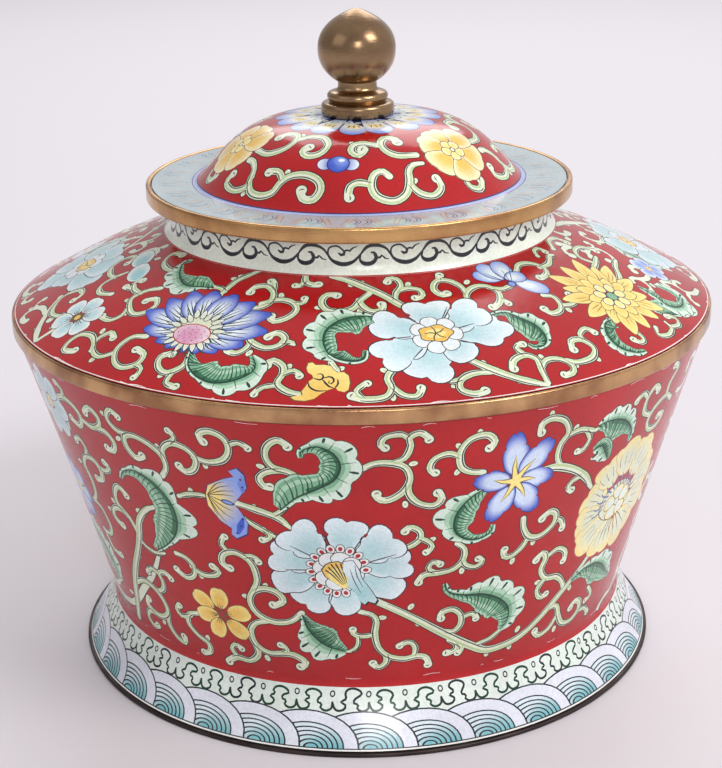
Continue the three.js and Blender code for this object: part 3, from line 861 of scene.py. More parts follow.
def wallPeony(sheet, at):
    # the large pale flower with its ring of stamens
    for angle, reach, length, width, lobes in (
            (143, 22.5, 15, 13, 4), (109, 24.6, 15, 11, 3), (-174, 20.5, 13, 10, 3),
            (-116, 23.5, 14, 11, 3), (77, 25.2, 16, 12, 4), (-85, 25.4, 16, 11, 4),
            (44, 24.6, 15, 14.5, 4), (-54, 24.8, 15, 14, 4), (-9, 22.8, 14, 12.5, 4)):
        petal(sheet, at(-4.6), 48, angle, reach - 1, length + 1.6, width * 1.06, paleInks, egg=0.46,
              lobes=lobes, ruffle=0.28, wash=0.86, line=0.4)
    for angle, near, far in ((16, 10, 18), (20, 9.5, 15), (-30, 10, 17), (-72, 10, 19), (60, 10, 18),
                             (94, 10, 18), (-140, 8, 16), (165, 8, 15)):
        rayLines(sheet, at(-4.5), 48, angle, near, far, 8, 1, "ink", 0.22)
    sheet.dot(at(-4.8), 47.2, 8.6, "ink", 22, 1.04)
    sheet.dot(at(-4.8), 47.2, 8.3, "ice", 22, 1.04)
    for k in range(15):
        a = math.radians(-48 + k * 20)
        x, y = 8.8 * math.cos(a + 0.9), 9.4 * math.sin(a + 0.9)
        theta, s = at(-4.8) + x * sheet.scale(47.4), 47.2 + y
        turnBy = math.degrees(a + 0.9)
        sheet.dot(theta, s, 2.0, "ink", 12, 0.78, turnBy)
        sheet.dot(theta, s, 1.72, "white", 12, 0.76, turnBy)
        sheet.dot(theta, s, 0.95, "crimson", 8, 0.8, turnBy)
    for angle, reach, length, width in ((70, 8.4, 6.5, 6), (30, 8.8, 6.5, 6.4), (-10, 8.4, 6, 6.4),
                                        (-52, 8.4, 6.5, 6), (118, 8, 6.5, 6), (165, 7.4, 6, 6)):
        petal(sheet, at(-4.8), 46.6, angle, reach, length, width, ("white", "ice", "ink"), lobes=3,
              ruffle=0.14, coats=1)
    heart = sheet.around(at(-4.6), 45.6, 28)
    fan = [(-1.6, -5.4), (-4.4, 1.4), (-4, 4.4), (-2, 5.6), (0, 5.8), (2.4, 5), (3.8, 2.6), (1.4, -3.6),
           (0.4, -5.6)]
    sheet.lay(heart([(x * 1.08, y * 1.07) for x, y in fan]), "ink")
    sheet.lay(heart(fan), "yellow")
    sheet.lay(heart([(x * 0.8 - 0.4, y * 0.8 - 1.4) for x, y in fan]), "paleYellow")
    for k in range(5):
        x = -3 + k * 1.4
        sheet.stroke(heart([(x, 5.2 - abs(x) * 0.5), (x * 0.7, 1), (x * 0.3 - 0.4, -4)]).ravel(),
                     [0.26, 0.22, 0.08], "ink", step=2.2)
    tongue = [(1.4, 4.8), (4.4, 5.2), (6.2, 1.4), (7, -2.4), (9.4, -6.6), (11.6, -11.4), (10.8, -13),
              (8.6, -12), (7.6, -13.4), (5.8, -11.8), (4.6, -8), (2.4, -5.6), (2.6, -2.4), (1, 1)]
    put = sheet.around(at(-4.6), 46.5)
    sheet.lay(put([(x * 1.06 - 0.1, y * 1.05) for x, y in tongue]), "ink")
    sheet.lay(put(tongue), spread("ice", "iceBlue", (at(-1.2), 38), 11, 1))
    for path in ([5, 3.4, 5.4, -1, 7.2, -6], [3.4, 1.6, 4.4, -3, 6.4, -8.4]):
        sheet.stroke(put(path).ravel(), [0.08, 0.18, 0.06], "ink", step=2.2)


def smallYellow(sheet, at):
    # small yellow six-petal flower
    x0, s0 = at(-28.9), 22.4
    gold = ("paleYellow", "yellow", "brown")
    for k, (angle, reach, width) in enumerate(((-6, 12, 6.8), (52, 12.6, 6.6), (104, 10.6, 6.6),
                                               (160, 11.6, 6.2), (-134, 12.4, 6.8), (-74, 12.4, 6.8))):
        petal(sheet, x0, s0, angle, reach, 9.4, width, gold, egg=0.1, lobes=2, ruffle=0.14, coats=2)
        rayLines(sheet, x0, s0, angle, 1.6, 4.6, 34, 3, "brown", 0.18)
    sheet.dot(x0, s0, 1.5, "brown", 10)
    sheet.dot(x0, s0, 1.0, "crimson", 8)


def blueStar(sheet, at):
    # blue star flower with a pale yellow star inside
    x0, s0 = at(24), 78
    star = ((8, 18.6, 8.6), (-38, 17.4, 8.4), (-92, 13.4, 7.6), (-146, 15.8, 8.4), (154, 15.6, 8.4),
            (80, 14, 7.6))
    for angle, reach, width in star:
        petal(sheet, x0, s0, angle, reach, reach * 0.86, width * 1.06, starInks, wash=0.46, egg=0.06,
              point=0.24, lobes=6, ruffle=0.2)
    for grow, ink in ((0.36, "brown"), (0, "paleYellow")):
        for angle, reach, width in star:
            put = sheet.around(x0, s0, angle + 4)
            h = reach * 0.56
            sheet.lay(put([(-1.1 - grow, 0), (0, -0.6), (1.1 + grow, 0), (0.6 + grow, h * 0.5),
                           (0.9, h + grow), (-0.4 - grow, h * 0.6)]), ink)


def blueBell(sheet, at):
    # blue bell seen from the side
    bell = [(-6, 1.5), (-4.5, 5.5), (-2, 7), (1.5, 9), (5.5, 10.5), (4, 12.5), (7, 14), (9, 11.5),
            (9, 6.5), (6, 2.5), (3.5, -0.5), (5.5, -4), (7, -8), (6, -12.5), (2, -15), (0.5, -13.5),
            (1, -11), (-2.5, -8.5), (-6, -3)]
    put = sheet.around(at(-23), 72.6)
    sheet.lay(put([(x * 1.055, y * 1.035) for x, y in bell]), "navy")
    sheet.lay(put(bell), spread("paleYellow", "skyBlue", (at(-26), 73), 4.5, 12.5))
    for path in ([8.2, 11, 7.6, 8, 7.6, 5], [5.6, -6.4, 4.4, -9.4, 3, -12.6]):
        sheet.stroke(put(path).ravel(), [0.5, 1.3, 0.6], {**spread("cobalt", "skyBlue", (at(-20), 66), 6,
                                                                   22)}, step=1.6)
    for x, y in ((7.4, 9.6), (7.6, 6.6), (4.6, -9.6), (2.6, -12.8), (5.6, -6.6)):
        sheet.dot(at(-23) + x * sheet.scale(72), 72.6 + y, 0.42, "navy", 8)
    for x, y in ((1.6, 8), (3.4, 6.6), (4.4, 4.6), (4, 2.6), (2.2, -0.6), (3, -3.8), (2.4, -7),
                 (-0.4, -8.8), (-3, -6.6)):
        sheet.stroke(put([(-5.4, 1.6), ((x - 5) / 2, y * 0.72 + 0.6), (x, y)]).ravel(), [0.1, 0.22, 0.08],
                     "brown", step=2)
    sheet.dot(at(-22.3), 72.2, 2.4, "navy", 12, 0.42, -12)
    sheet.dot(at(-22.3), 72.2, 1.8, "skyBlue", 10, 0.34, -12)


def ruffledYellow(sheet, at):
    # large yellow ruffled flower with a grey-blue collar
    x0, s0 = at(50), 53.6
    straw = ("paleYellow", "straw", "brimTan")
    for angle, reach, length, width, lobes in (
            (64, 21, 13, 13, 4), (30, 24, 14, 13, 4), (-2, 26, 15, 15, 5), (-36, 27, 16, 15, 5),
            (-72, 27, 17, 14, 4), (100, 20, 13, 12, 4), (-106, 26, 17, 15, 5), (-140, 25, 17, 15, 4),
            (140, 21.5, 16, 14, 5), (178, 22, 16, 13, 4)):
        petal(sheet, x0, s0, angle, reach, length, width * 1.06, straw, wash=0.6, egg=0.36, lobes=lobes,
              ruffle=0.24)
        rayLines(sheet, x0, s0, angle, reach - length * 0.7, reach - length * 0.32, 36, 4, "brown", 0.13)
    sheet.dot(at(50.4), 54.5, 9.4, "brown", 20, 0.86)
    sheet.dot(at(50.4), 54.5, 9.0, "straw", 20, 0.86)
    rayLines(sheet, at(50.6), 53, 10, 8, 13, 170, 14, (104, 116, 156), 0.4)
    for k in range(5):
        petal(sheet, at(51), 53.4, 72 * k + 10, 7.4, 6, 5.6, ("paleYellow", "borderGreen", "brown"),
              lobes=2, ruffle=0.14, coats=1)
    rayLines(sheet, at(51), 51, -165, 4, 12, 70, 6, "brown", 0.2)


def edgeFlowers(sheet, at):
    # pale and blue flowers at the left edge of the picture
    for k in range(7):
        petal(sheet, at(-62.5), 90, 51 * k + 10, 14, 11, 8.6, paleInks, lobes=3, ruffle=0.15, coats=2)
    sheet.dot(at(-62.5), 90, 3, "brown", 12)
    sheet.dot(at(-62.5), 90, 2.6, "paleYellow", 12)
    for k in range(8):
        petal(sheet, at(-67), 52, 45 * k, 12.5, 10, 7.4, starInks, wash=0.7, lobes=3, ruffle=0.12, coats=2)
    sheet.dot(at(-67), 52, 3.2, "brown", 12)
    sheet.dot(at(-67), 52, 2.8, "paleYellow", 12)


def wallFlowers(sheet, turn, whole):
    # all the flowers of the wall, or only the large middle one
    kinds = (wallPeony, smallYellow, blueStar, blueBell, ruffledYellow, edgeFlowers)
    for flower in kinds if whole else kinds[:1]:
        flower(sheet, lambda theta: theta + turn)


# the same for the shoulder, in mm from the band inwards
shoulderVines = [
    (1.5, [-7.5, 60, -3, 57.5, 1, 54, 5, 49.6, 8, 44.8, 11.5, 38.6], "thin"),
    (1.5, [16.8, 17.8, 18.5, 14.4, 20.6, 10.6, 24, 5.4, 27.4, 1.6], "thin"),
    (1.2, [-14.8, 60, -14.4, 57, -12.8, 55.2, -11, 54.8]),
    (1.0, [-14.4, 57.4, -14.8, 54.6, -16, 53.8]),
    (1.2, [1.8, 50.6, -0.4, 47, -2, 43.2, -5, 41.9, -7.6, 43, -8.8, 46.6, -8, 49.8, -5.9, 50.2]),
    (1.2, [-0.6, 47.4, 0.2, 44, 2, 41.6, 4, 41.8, 4.6, 44.4]),
    (1.1, [7.4, 46.6, 8, 50.4, 9.6, 54, 9, 57.4, 7.2, 58, 6.4, 56.8]),
    (1.1, [8.2, 51, 11, 52.2, 13.6, 51, 13.8, 48, 12.4, 46.8]),
    (1.2, [-22, 43.6, -18.6, 46.2, -15.4, 45.4, -13.8, 42, -15, 38, -17.4, 35.8, -18.6, 37.4]),
    (1.0, [-15, 45, -13, 45.4, -12.6, 47.4]),
    (1.2, [-25.2, 40.6, -22, 41.6, -20.2, 45, -20.6, 49.4, -23, 52.6, -25.8, 51.8, -26.6, 49]),
    (1.1, [-21, 50.8, -21.6, 53.6, -22.6, 55.4]),
    (1.2, [-33, 45, -32.8, 49, -32, 53.6, -30, 57.4, -28, 60], "thin"),
    (1.0, [-32.6, 47, -34.4, 48.4, -37, 48.2], "thin"),
    (1.2, [-23, 26.6, -21.4, 28.2, -19.8, 25.4, -17, 23.4, -14.6, 25, -14, 28.4, -15.6, 30.6, -17.2, 29]),
    (1.1, [-20, 25.8, -20.2, 22.6, -21.6, 20, -23.2, 20.4]),
    (1.0, [-14.4, 26.4, -13, 26.8, -12, 25.6], "thin"),
    (1.1, [-5.2, 18.6, -4.6, 16.4, -3.8, 14.4], "thin"),
    (1.2, [-8, 4.8, -11, 5.8, -13, 9, -12.6, 13, -13, 16.4, -14.8, 18.4, -15.6, 16.6]),
    (1.0, [-13, 8.4, -15, 7.2, -16, 4.6]),
    (1.0, [-12.7, 12.6, -11, 14.6, -9.8, 13]),
    (1.2, [7.4, 15.6, 5, 15, 3.8, 11.6, 4.2, 7.6, 3.2, 4, 0.6, 3.2, -1.6, 4.2]),
    (1.1, [4.2, 8.4, 5.6, 4.6, 7.6, 3.6, 8.6, 6.4]),
    (1.0, [0, 3.6, -1, 6.6, 0.4, 9.8]),
    (1.2, [-40.4, 20.4, -43, 18.6, -43.8, 13, -42.2, 8, -39.8, 6.2, -37.6, 9, -37.8, 13, -39.8, 14.6]),
    (1.1, [-43.6, 10.6, -45.6, 7.6, -48, 8.8, -49.6, 13, -48.6, 17.4, -46.8, 16.4]),
    (1.0, [-38, 8.6, -36.2, 7.4, -36, 3.8]),
    (1.2, [-29.6, 16.6, -29.4, 11.6, -31.4, 8, -33.6, 9.8, -34.4, 13.8, -33, 16]),
    (1.1, [-30.4, 9, -30.4, 4.4, -28.6, 3]),
    (1.2, [-49.4, 41.4, -52, 38.8, -53.4, 34, -51.6, 30, -48.4, 27.4, -46, 29.6, -45.4, 33.4, -47, 36.4,
           -49, 34.8]),
    (1.2, [-52.8, 36.4, -55.8, 36.6, -58.6, 39.6, -57.6, 41.6]),
    (1.1, [-51.8, 30.4, -50.6, 25.6, -51.8, 22, -54.6, 21.6]),
    (1.2, [-48.4, 8.6, -49.6, 11.6, -51.8, 13.8, -54.4, 12.4, -55, 8, -54, 4.6, -51.8, 5.6]),
    (1.1, [-56.8, 36.6, -59, 35.8]),
    (1.2, [-51, 50.6, -56, 50.4, -60, 52.6, -61.6, 57, -58, 58.6]),
    (1.2, [-60, 31, -63.8, 29, -66.6, 31.6, -66.8, 36, -65.6, 41], "thin"),
    (1.2, [-64.4, 14, -68, 12, -71, 15, -72.6, 20, -70.6, 25, -68, 24, -67.6, 21]),
    (1.2, [-66.6, 36.6, -70, 36.4, -73.6, 39, -74.6, 44, -72.6, 47, -70.6, 44]),
    (1.2, [23, 40.4, 24, 46, 26.8, 48.8, 29.8, 48.4, 31.4, 44.6, 30, 40, 27.8, 37.6]),
    (1.2, [24, 46, 23.8, 50.6, 21.6, 54.2, 18.8, 54.4, 17.2, 50.6, 18.2, 47.4, 19.4, 47.2]),
    (1.1, [19.6, 54.6, 20.2, 57.4]),
    (1.1, [30.2, 47.4, 33, 45.4, 36.6, 46.2], "thin"),
    (1.0, [30.6, 41.2, 31.6, 38.6]),
    (1.0, [25.6, 34.4, 28, 34.8, 30, 33.4], "thin"),
    (1.2, [19.8, 10.4, 17, 10.8, 14.8, 8.8, 14.2, 5, 15.8, 2.6, 17.6, 2.8]),
    (1.0, [15, 9.2, 13.2, 8.4, 12.6, 12]),
    (1.2, [27.6, 2.4, 28, 7.6, 28.4, 12.6, 26.8, 15, 24.6, 13.8, 23.6, 10.8]),
    (1.1, [28, 8, 29.8, 11, 32, 10.6, 33.4, 7.4, 32.8, 4.4, 31.2, 3.6]),
    (1.1, [27, 15, 26.2, 18.4, 27.6, 19.8]),
    (1.2, [33.2, 9.2, 35, 7.4, 38, 7.8, 39.8, 11.4, 39, 15.6, 37, 16.4, 35.8, 13.2]),
    (1.1, [39.4, 14.4, 39.6, 17.6, 41.6, 19.4, 42.8, 17.4]),
    (1.2, [40.8, 38, 42.6, 36.4, 42.4, 32.6, 40.8, 29.6, 38.6, 29.2, 37.6, 31.6]),
    (1.1, [42.2, 31.6, 44.4, 30.4, 46.4, 31.4, 47, 34.6]),
    (1.2, [41.4, 52, 44.4, 54.6, 48, 53.6, 49.8, 50, 48.4, 46.8, 45.6, 45.6]),
    (1.2, [49, 50.4, 53, 50.6, 57, 53.6, 58.4, 53], "thin"),
    (1.1, [53.4, 55.4, 55.2, 58, 57.6, 58.2, 58.2, 56.2]),
    (1.1, [49.6, 18.6, 48, 19.4, 47.4, 16.4], "thin"),
    (1.1, [50.6, 13, 51, 8.6, 49.8, 6.4, 48.6, 8.2]),
    (1.1, [56, 9, 54.6, 6, 56.6, 4.2, 59, 5.4, 59.6, 8.8], "thin"),
    (1.1, [59.4, 6.2, 61.6, 4.8, 63.2, 7.6, 62, 10]),
    (1.2, [61.8, 28.6, 66, 31.6, 70, 35, 74, 36], "thin"),
    (1.2, [61.4, 39.4, 66, 40.6, 70, 42.4], "thin"),
    (1.2, [66, 41, 65, 46, 68, 49.4, 72, 48.4, 74, 44]),
    (1.2, [62, 55, 66, 59, 70, 58, 71, 54]),
]
shoulderThorns = [
    (-2.6, 55.2, 180), (0.2, 56.4, 10), (11.6, 54.6, -20), (-9.4, 43.4, 90), (-0.4, 41.6, 180),
    (-18.6, 48.8, 20), (-22.4, 55.8, 10), (-31.6, 55.8, -90), (-33.4, 54, 90), (-3.4, 16, -60),
    (-11.8, 16.4, -20), (4.2, 3.4, 180), (3.2, 15, 60), (-46.4, 5.2, 170), (-50.6, 17.2, 20),
    (-50, 26.6, -160), (-53.8, 31.6, 100), (-53.4, 4, 180), (20.4, 57.6, -10), (26.4, 52.2, -50),
    (31.8, 38.4, -120), (19.4, 14.6, 0), (23.4, 5, 200), (29.4, 13, 0), (34, 6.4, 200), (38.6, 6.4, 190),
    (42.6, 28.4, 180), (-32, 6.4, 160), (-19.4, 20.4, 160), (13.4, 6.6, 120), (56.6, 53.4, 20),
    (-63.2, 9, 170),
]
shoulderLeaves = [
    ([-4.6, 19.6, -6, 23, -7, 28, -6.6, 33.4, -3.8, 38, 0, 39.4, 3.4, 38.2, 5, 36.6],
     [0.8, 6, 7, 7, 7, 2, 1, 0.8], [1, 4, 4, 3, 8, 9, 3, 0.8], "left", 7),
    ([-5.6, 22, -4, 20, -1.6, 19, 0.2, 20, 0.6, 23.6], [1, 5.5, 1.4, 1, 1], [1, 1.2, 1.2, 1, 1], "right",
     1),
    ([-29.8, 18.4, -28.6, 12.6, -26, 8.6, -23, 7, -20, 8.6, -17.6, 12.6, -17.4, 16, -18.6, 19.8],
     [0.8, 6, 9, 7, 7, 7, 2, 0.8], [0.8, 1, 1, 1.6, 6, 6, 5, 0.8], "right", 6),
    ([-36.4, 47.8, -40, 47, -44, 46, -48, 48.4, -51, 51.6, -53.4, 55.6, -51.6, 57.6],
     [0.8, 1, 5.6, 6.4, 6, 1.4, 0.8], [0.8, 6, 6, 5.4, 1.6, 1.4, 0.8], "left", 7),
    ([25.6, 34.4, 29, 34.6, 31, 31, 33, 26, 33, 20.6, 31.6, 17.4, 29.6, 17.2, 28.8, 19],
     [0.8, 1, 1.4, 5, 5.4, 1.4, 1, 0.8], [0.8, 1, 6, 8.6, 8, 3.4, 1.2, 0.8], "left", 6),
    ([49.6, 19, 46.8, 18.6, 44.6, 14, 44.4, 8, 46.4, 4, 48.4, 3], [0.8, 5, 6.4, 6.4, 2, 0.8],
     [0.8, 1, 3, 3.6, 2, 0.8], "right", 5),
    ([66, 24, 66.4, 18, 66, 12, 69, 8.6, 73, 9.6], [1, 4, 5, 2, 0.8], [1, 4, 5, 5, 0.8], "right", 5),
]


def shoulderPeony(sheet, at):
    # large pale flower with a yellow heart
    x0, s0 = at(13.4), 29
    for angle, reach, length, width, lobes in (
            (158, 22.5, 15, 14, 4), (116, 24.6, 16, 12, 4), (-143, 16, 11, 11, 3), (-94, 26.8, 18, 11.5, 5),
            (68, 22, 14, 11.5, 4), (-60, 22.8, 14, 13, 4), (-1, 17.4, 12, 14, 4)):
        petal(sheet, x0, s0, angle, reach - 0.8, reach - 4, width * 1.1, paleInks, wash=0.86, egg=0.42,
              lobes=lobes, ruffle=0.28, line=0.4)
    for angle in (-30, -34, 36, 92, -78, -118, 136):
        rayLines(sheet, x0, s0, angle, 8, 14, 6, 1, "ink", 0.22)
    for k in range(7):
        petal(sheet, at(13.6), 28.8, 51.4 * k + 10, 8.6, 5.6, 5.4, ("white", "ice", "ink"), egg=0.1,
              lobes=2, ruffle=0.14, coats=1)
    heart = sheet.around(at(13.5), 29.4, 0)
    ring = [(5.2 * math.sin(a) * (1 + 0.1 * math.sin(5 * a)),
             3.6 * math.cos(a) * (1 + 0.1 * math.sin(5 * a)))
            for a in np.linspace(0, 2 * math.pi, 24, endpoint=False)]
    sheet.lay(heart([(x * 1.07, y * 1.09) for x, y in ring]), "ink")
    sheet.lay(heart(ring), "yellow")
    sheet.lay(heart([(x * 0.6, y * 0.6) for x, y in ring]), "paleYellow")
    for k in range(5):
        put = sheet.around(at(13.5), 29.4, 72 * k + 15)
        sheet.stroke(put([(0, 0), (0.4, 1.8), (0, 3.6)]).ravel(), [0.2, 0.22, 0.12], "ink", step=1.6)


def blueAster(sheet, at):
    # blue aster with a rose dome
    x0, s0 = at(-31.8), 28
    blue = ("cobalt", "ice", "navy")
    for angle, reach, width in ((150, 11, 5.6), (128, 13, 6), (-174, 10, 5), (-150, 11, 5.4),
                                (-126, 14, 6.4), (104, 18.4, 7.4), (-104, 18.4, 8), (84, 22.4, 7.6),
                                (-84, 22, 8.4), (62, 20, 8.4), (-62, 21.4, 8.8), (38, 18.8, 9),
                                (-38, 18.4, 9), (14, 17.6, 9), (-12, 17.4, 9)):
        petal(sheet, x0, s0, angle, reach, reach * 0.74, width, blue, wash=0.66, egg=0.1, point=0.24)
        rayLines(sheet, x0, s0, angle, reach * 0.4, reach * 0.82, 22, 4, "ink", 0.2)
    sheet.dot(at(-31.8), 28.4, 8.9, "leafLine", 22, 0.72)
    sheet.dot(at(-31.8), 28.4, 8.5, "straw", 22, 0.72)
    rayLines(sheet, at(-31.8), 27, 0, 6, 13, 350, 30, "leafLine", 0.22)
    for k in range(20):
        petal(sheet, at(-31.9), 27, -171 + k * 18, 8.9 + 0.7 * (k % 3), 3.8, 1.7,
              ("white", "straw", "leafLine"), egg=-0.2, coats=1, point=0.2)
    sheet.dot(at(-32), 25.4, 6.9, "crimson", 22, 0.7)
    sheet.dot(at(-32), 25.4, 6.5, spread("rose", "white", (at(-32.4), 24.4), 3, 9), 22, 0.68)
    for k in range(22):
        a, d = 2.4 * k, 1.25 * math.sqrt(k)
        sheet.dot(at(-32) + d * math.cos(a) * sheet.scale(26), 25.2 + d * math.sin(a) * 0.68, 0.26,
                  "crimson", 5)


def yellowBud(sheet, at):
    # yellow bud with scrolled petals
    bud = [(-5.8, 7.6), (-4.6, 7.9), (-3.4, 6.8), (-1, 7), (1.2, 6.6), (2.4, 4.8), (3.6, 3.8), (5.6, 3.9),
           (7.2, 2.4), (7.8, -0.6), (7.6, -3.4), (6.4, -4.4), (4.4, -3.8), (3.6, -2.6), (1.6, -3.4),
           (-0.8, -5.2), (-2.6, -7.2), (-5.4, -8.2), (-8.6, -8), (-10, -7), (-8.2, -6.2), (-6.4, -5.8),
           (-6.8, -4.2), (-5.8, -2.4), (-5, -0.2), (-3.6, 1.2), (-4.2, 2.6), (-5.6, 3.6), (-6.2, 5.4)]
    put = sheet.around(at(-5.8), 10.6, 0, 0.98)
    sheet.lay(put([(x * 1.05, y * 1.05) for x, y in bud]), "brown")
    sheet.lay(put(bud), spread("yellow", "paleYellow", (at(-6), 5), 3, 13))
    for curl in ([-3.6, 1.2, -1.4, 0.6, -0.6, 2, -1.4, 3.2, -2.6, 2.8], [-0.8, 0.8, 1.4, -2, 3.4, -2.8],
                 [-0.8, 1.2, 1.4, 2, 2.8, 0.8, 2.4, -0.8, 1.2, -0.6, 1.4, 0.4],
                 [-5.2, -0.4, -4.4, -2.6, -2, -4, 1, -3.8], [3.4, -2.6, 4.2, -1, 3.9, 1]):
        sheet.stroke(put(curl).ravel(), [0.14, 0.34, 0.3, 0.1], "ink", step=1.0)


def sideFlower(sheet, at):
    # pale blue flower seen from the side
    x0, s0 = at(36.6), 46.8
    for x, y, angle, length, width in ((-5.8, 6, 62, 10, 6.2), (-3, 8, 22, 10.4, 6.8),
                                       (2, 7.6, -14, 10.4, 7.2), (5.8, -3.2, -134, 12, 7),
                                       (3.8, 3, -96, 8, 6)):
        theta, s = at(36.6) + x * sheet.scale(48), 46.6 + y
        petal(sheet, theta, s, angle, length / 2, length, width, ("skyBlue", "ice", "navy"), egg=0.25,
              lobes=3, ruffle=0.14, coats=2)
    sheet.dot(x0, s0, 1.8, "navy", 10)
    sheet.dot(x0, s0, 1.2, "skyBlue", 8)
    for x in (-3, -1, 1, 3):
        sheet.stroke(sheet.around(x0, s0)([(x * 0.3, 1), (x, 4.4), (x * 1.8, 8)]).ravel(),
                     [0.1, 0.18, 0.06], "navy", step=2)


def smallWhite(sheet, at):
    # small white flower with a brown eye
    x0, s0 = at(-60.2), 17
    for k in range(6):
        petal(sheet, x0, s0, 60 * k + 8, 11, 8.6, 7.6, ("white", "iceShade", "ink"), egg=0.25, lobes=2,
              ruffle=0.12, coats=2)
        rayLines(sheet, x0, s0, 60 * k + 8, 2.4, 5.4, 30, 3, "brown", 0.18)
    sheet.dot(x0, s0, 2.4, "brown", 12, 0.9)
    sheet.dot(x0, s0, 1.3, "yellow", 8)


def whiteBud(sheet, at):
    # white bud
    for x, y, angle in ((-5.5, 3.6, 60), (3.6, -1.6, 55)):
        petal(sheet, at(-64.6) + x * sheet.scale(45), 45 + y, angle, 6, 12, 8.6,
              ("white", "iceBlue", "ink"), egg=0.1, lobes=3, ruffle=0.1, coats=2)


def chrysanthemum(sheet, at):
    # yellow, with three rounds of narrow petals
    x0, s0 = at(56), 28
    straw = ("paleYellow", "gold", "brown")
    for k in range(15):
        reach = 17.6 + 2.2 * math.sin(k * 2.3)
        petal(sheet, x0, s0, 24 * k + 6 + 4 * math.sin(k * 1.7), reach, 12, 6.2, straw, egg=0.05,
              point=0.28, lobes=3, ruffle=0.08, coats=2)
        rayLines(sheet, x0, s0, 24 * k + 6, reach - 8, reach - 3, 12, 2, "brown", 0.13)
    for k in range(11):
        petal(sheet, at(56), 27.6, 33 * k + 14, 10.6 + math.sin(k * 1.9), 6.6, 4.6, straw, egg=0.05,
              point=0.22, coats=1)
    for k in range(7):
        petal(sheet, at(56), 27.2, 51 * k + 5, 6.8, 4.4, 3.6, ("straw", "paleYellow", "ink"), egg=0.1,
              coats=1)
    sheet.dot(at(56), 27, 2.4, "ink", 12)
    sheet.dot(at(56), 27, 2.0, "leaf", 12)


def smallBlue(sheet, at):
    # blue flower towards the side
    x0, s0 = at(79), 24
    for k in range(5):
        petal(sheet, x0, s0, 72 * k + 20, 7.8, 6.4, 6, ("ice", "skyBlue", "navy"), egg=0.25, coats=2)
    sheet.dot(x0, s0, 1.5, "yellow", 8)


def shoulderFlowers(sheet, turn, whole):
    # all the flowers of the shoulder, or only the large pale one, a little further to the left
    kinds = (shoulderPeony, blueAster, yellowBud, sideFlower, smallWhite, whiteBud, chrysanthemum,
             smallBlue)
    shift = turn if whole else turn - 8
    for flower in kinds if whole else kinds[:1]:
        flower(sheet, lambda theta: theta + shift)


def dress(sheet, stems, thorns, leaves, flowers):
    # the drawn front, the same again behind, and its middle again at each side
    for turn, reach in ((180, 180), (90, 27), (-90, 27), (0, 180)):
        def moved(path):
            return wrapped([x + turn if i % 2 == 0 else x for i, x in enumerate(path)])

        def near(path):
            return abs(sum(path[0::2]) / len(path[0::2])) < reach

        sheet.plain = turn != 0
        for theta, s, way in thorns:
            if near([theta, s]):
                thorn(sheet, moved([theta, s])[0], s, way)
        vines(sheet, [(w, moved(path), end) for w, path, end in ended(stems) if near(path)],
              plain=turn != 0)
        for spine, left, right, frill, lobes in leaves:
            if near(spine):
                leaf(sheet, moved(spine), left, right, frill, lobes, veins=24 if turn == 0 else 6)
        flowers(sheet, turn, reach > 90)
        sheet.plain = False


def wrapped(path):
    # a path that lies past the back seam, brought back by a full turn
    middle = sum(path[0::2]) / len(path[0::2])
    shift = -360 if middle > 180 else 0
    return [x + shift if i % 2 == 0 else x for i, x in enumerate(path)]


def hiddenJoint():
    # outer and inner radius and the height of the joint behind the brass band
    return jar["seatRadius"], jar["seatRadius"] - jar["wall"], (jar["wallTop"] + jar["bandTop"]) / 2


def makeBowl(material):
    # foot, wall, inside and floor, up to the hidden joint; in this function, makeShoulder and
    # makeLid the last pair of a call is the strip of the UV map that it fills
    border = jar["borderTop"]
    foot = Line(footRows(jar["underFoot"], border, 24), start=1.9)
    wall = Line(np.vstack([footRows(border, jar["footHeight"] - 0.1, 6), wallRows(40)]), start=-2.75)
    w, top = jar["wall"], jar["wallTop"] - jar["seam"]
    seat, innerSeat, joint = hiddenJoint()
    joint -= jar["jointGap"]
    bowl = Shell("painted_bowl")
    band = Sheet(foot, foot.s[0], foot.s[-1], "borderGreen", 2.4)
    band.hoop(1.95, 2.5, "white")
    waveBand(band)
    cloudBand(band)
    band.hoop(2.45, 2.85, "ink")
    bowl.sheet(band, (0.02, 0.14))
    band = Sheet(wall, wall.s[0], wall.s[-1], "red")
    dress(band, wallVines, wallThorns, wallLeaves, wallFlowers)
    # white dashes painted as glints at the wall's foot and just under the band
    paintedGlints(band, 0.3, 0.0, 0.1)
    paintedGlints(band, wall.s[-1] - 0.7, 2.0, 0.08)
    bowl.sheet(band, (0.14, 0.68))
    bowl.rings([(jar["wallTopRadius"], top), (seat, top)], "brown", (0.68, 0.69))
    bowl.rings([(seat, top), (seat, joint)], "brown", (0.69, 0.7))
    bowl.rings([(seat, joint), (innerSeat, joint)], "brown", (0.7, 0.71))
    inside = [(innerSeat, joint)]
    inside += [(r - w, z) for r, z in wallRows(8)[::-1] if 34 < z < 122]
    f, waist, floor = jar["floorFillet"], jar["waistRadius"] - w, jar["footHeight"]
    for k in range(7):
        a = math.radians(-4 - 86 * k / 6)
        inside.append((waist - f + f * math.cos(a) + 0.2, floor + f + f * math.sin(a)))
    inside += [(60, floor), (20, floor), (0, floor)]
    bowl.rings(inside, "inside", (0.71, 0.88))
    under = [(0, floor - w), (30, floor - w), (70, floor - w)]
    under += [(r - w, z) for r, z in footRows(jar["underFoot"], floor - w, 8)[::-1]]
    bowl.rings(under, "inside", (0.88, 0.98))
    bowl.rings([under[-1], (footRows(jar["underFoot"], 20, 4)[0][0], jar["underFoot"])], "inside",
               (0.98, 0.99))
    bowl.make(material, "bowl")


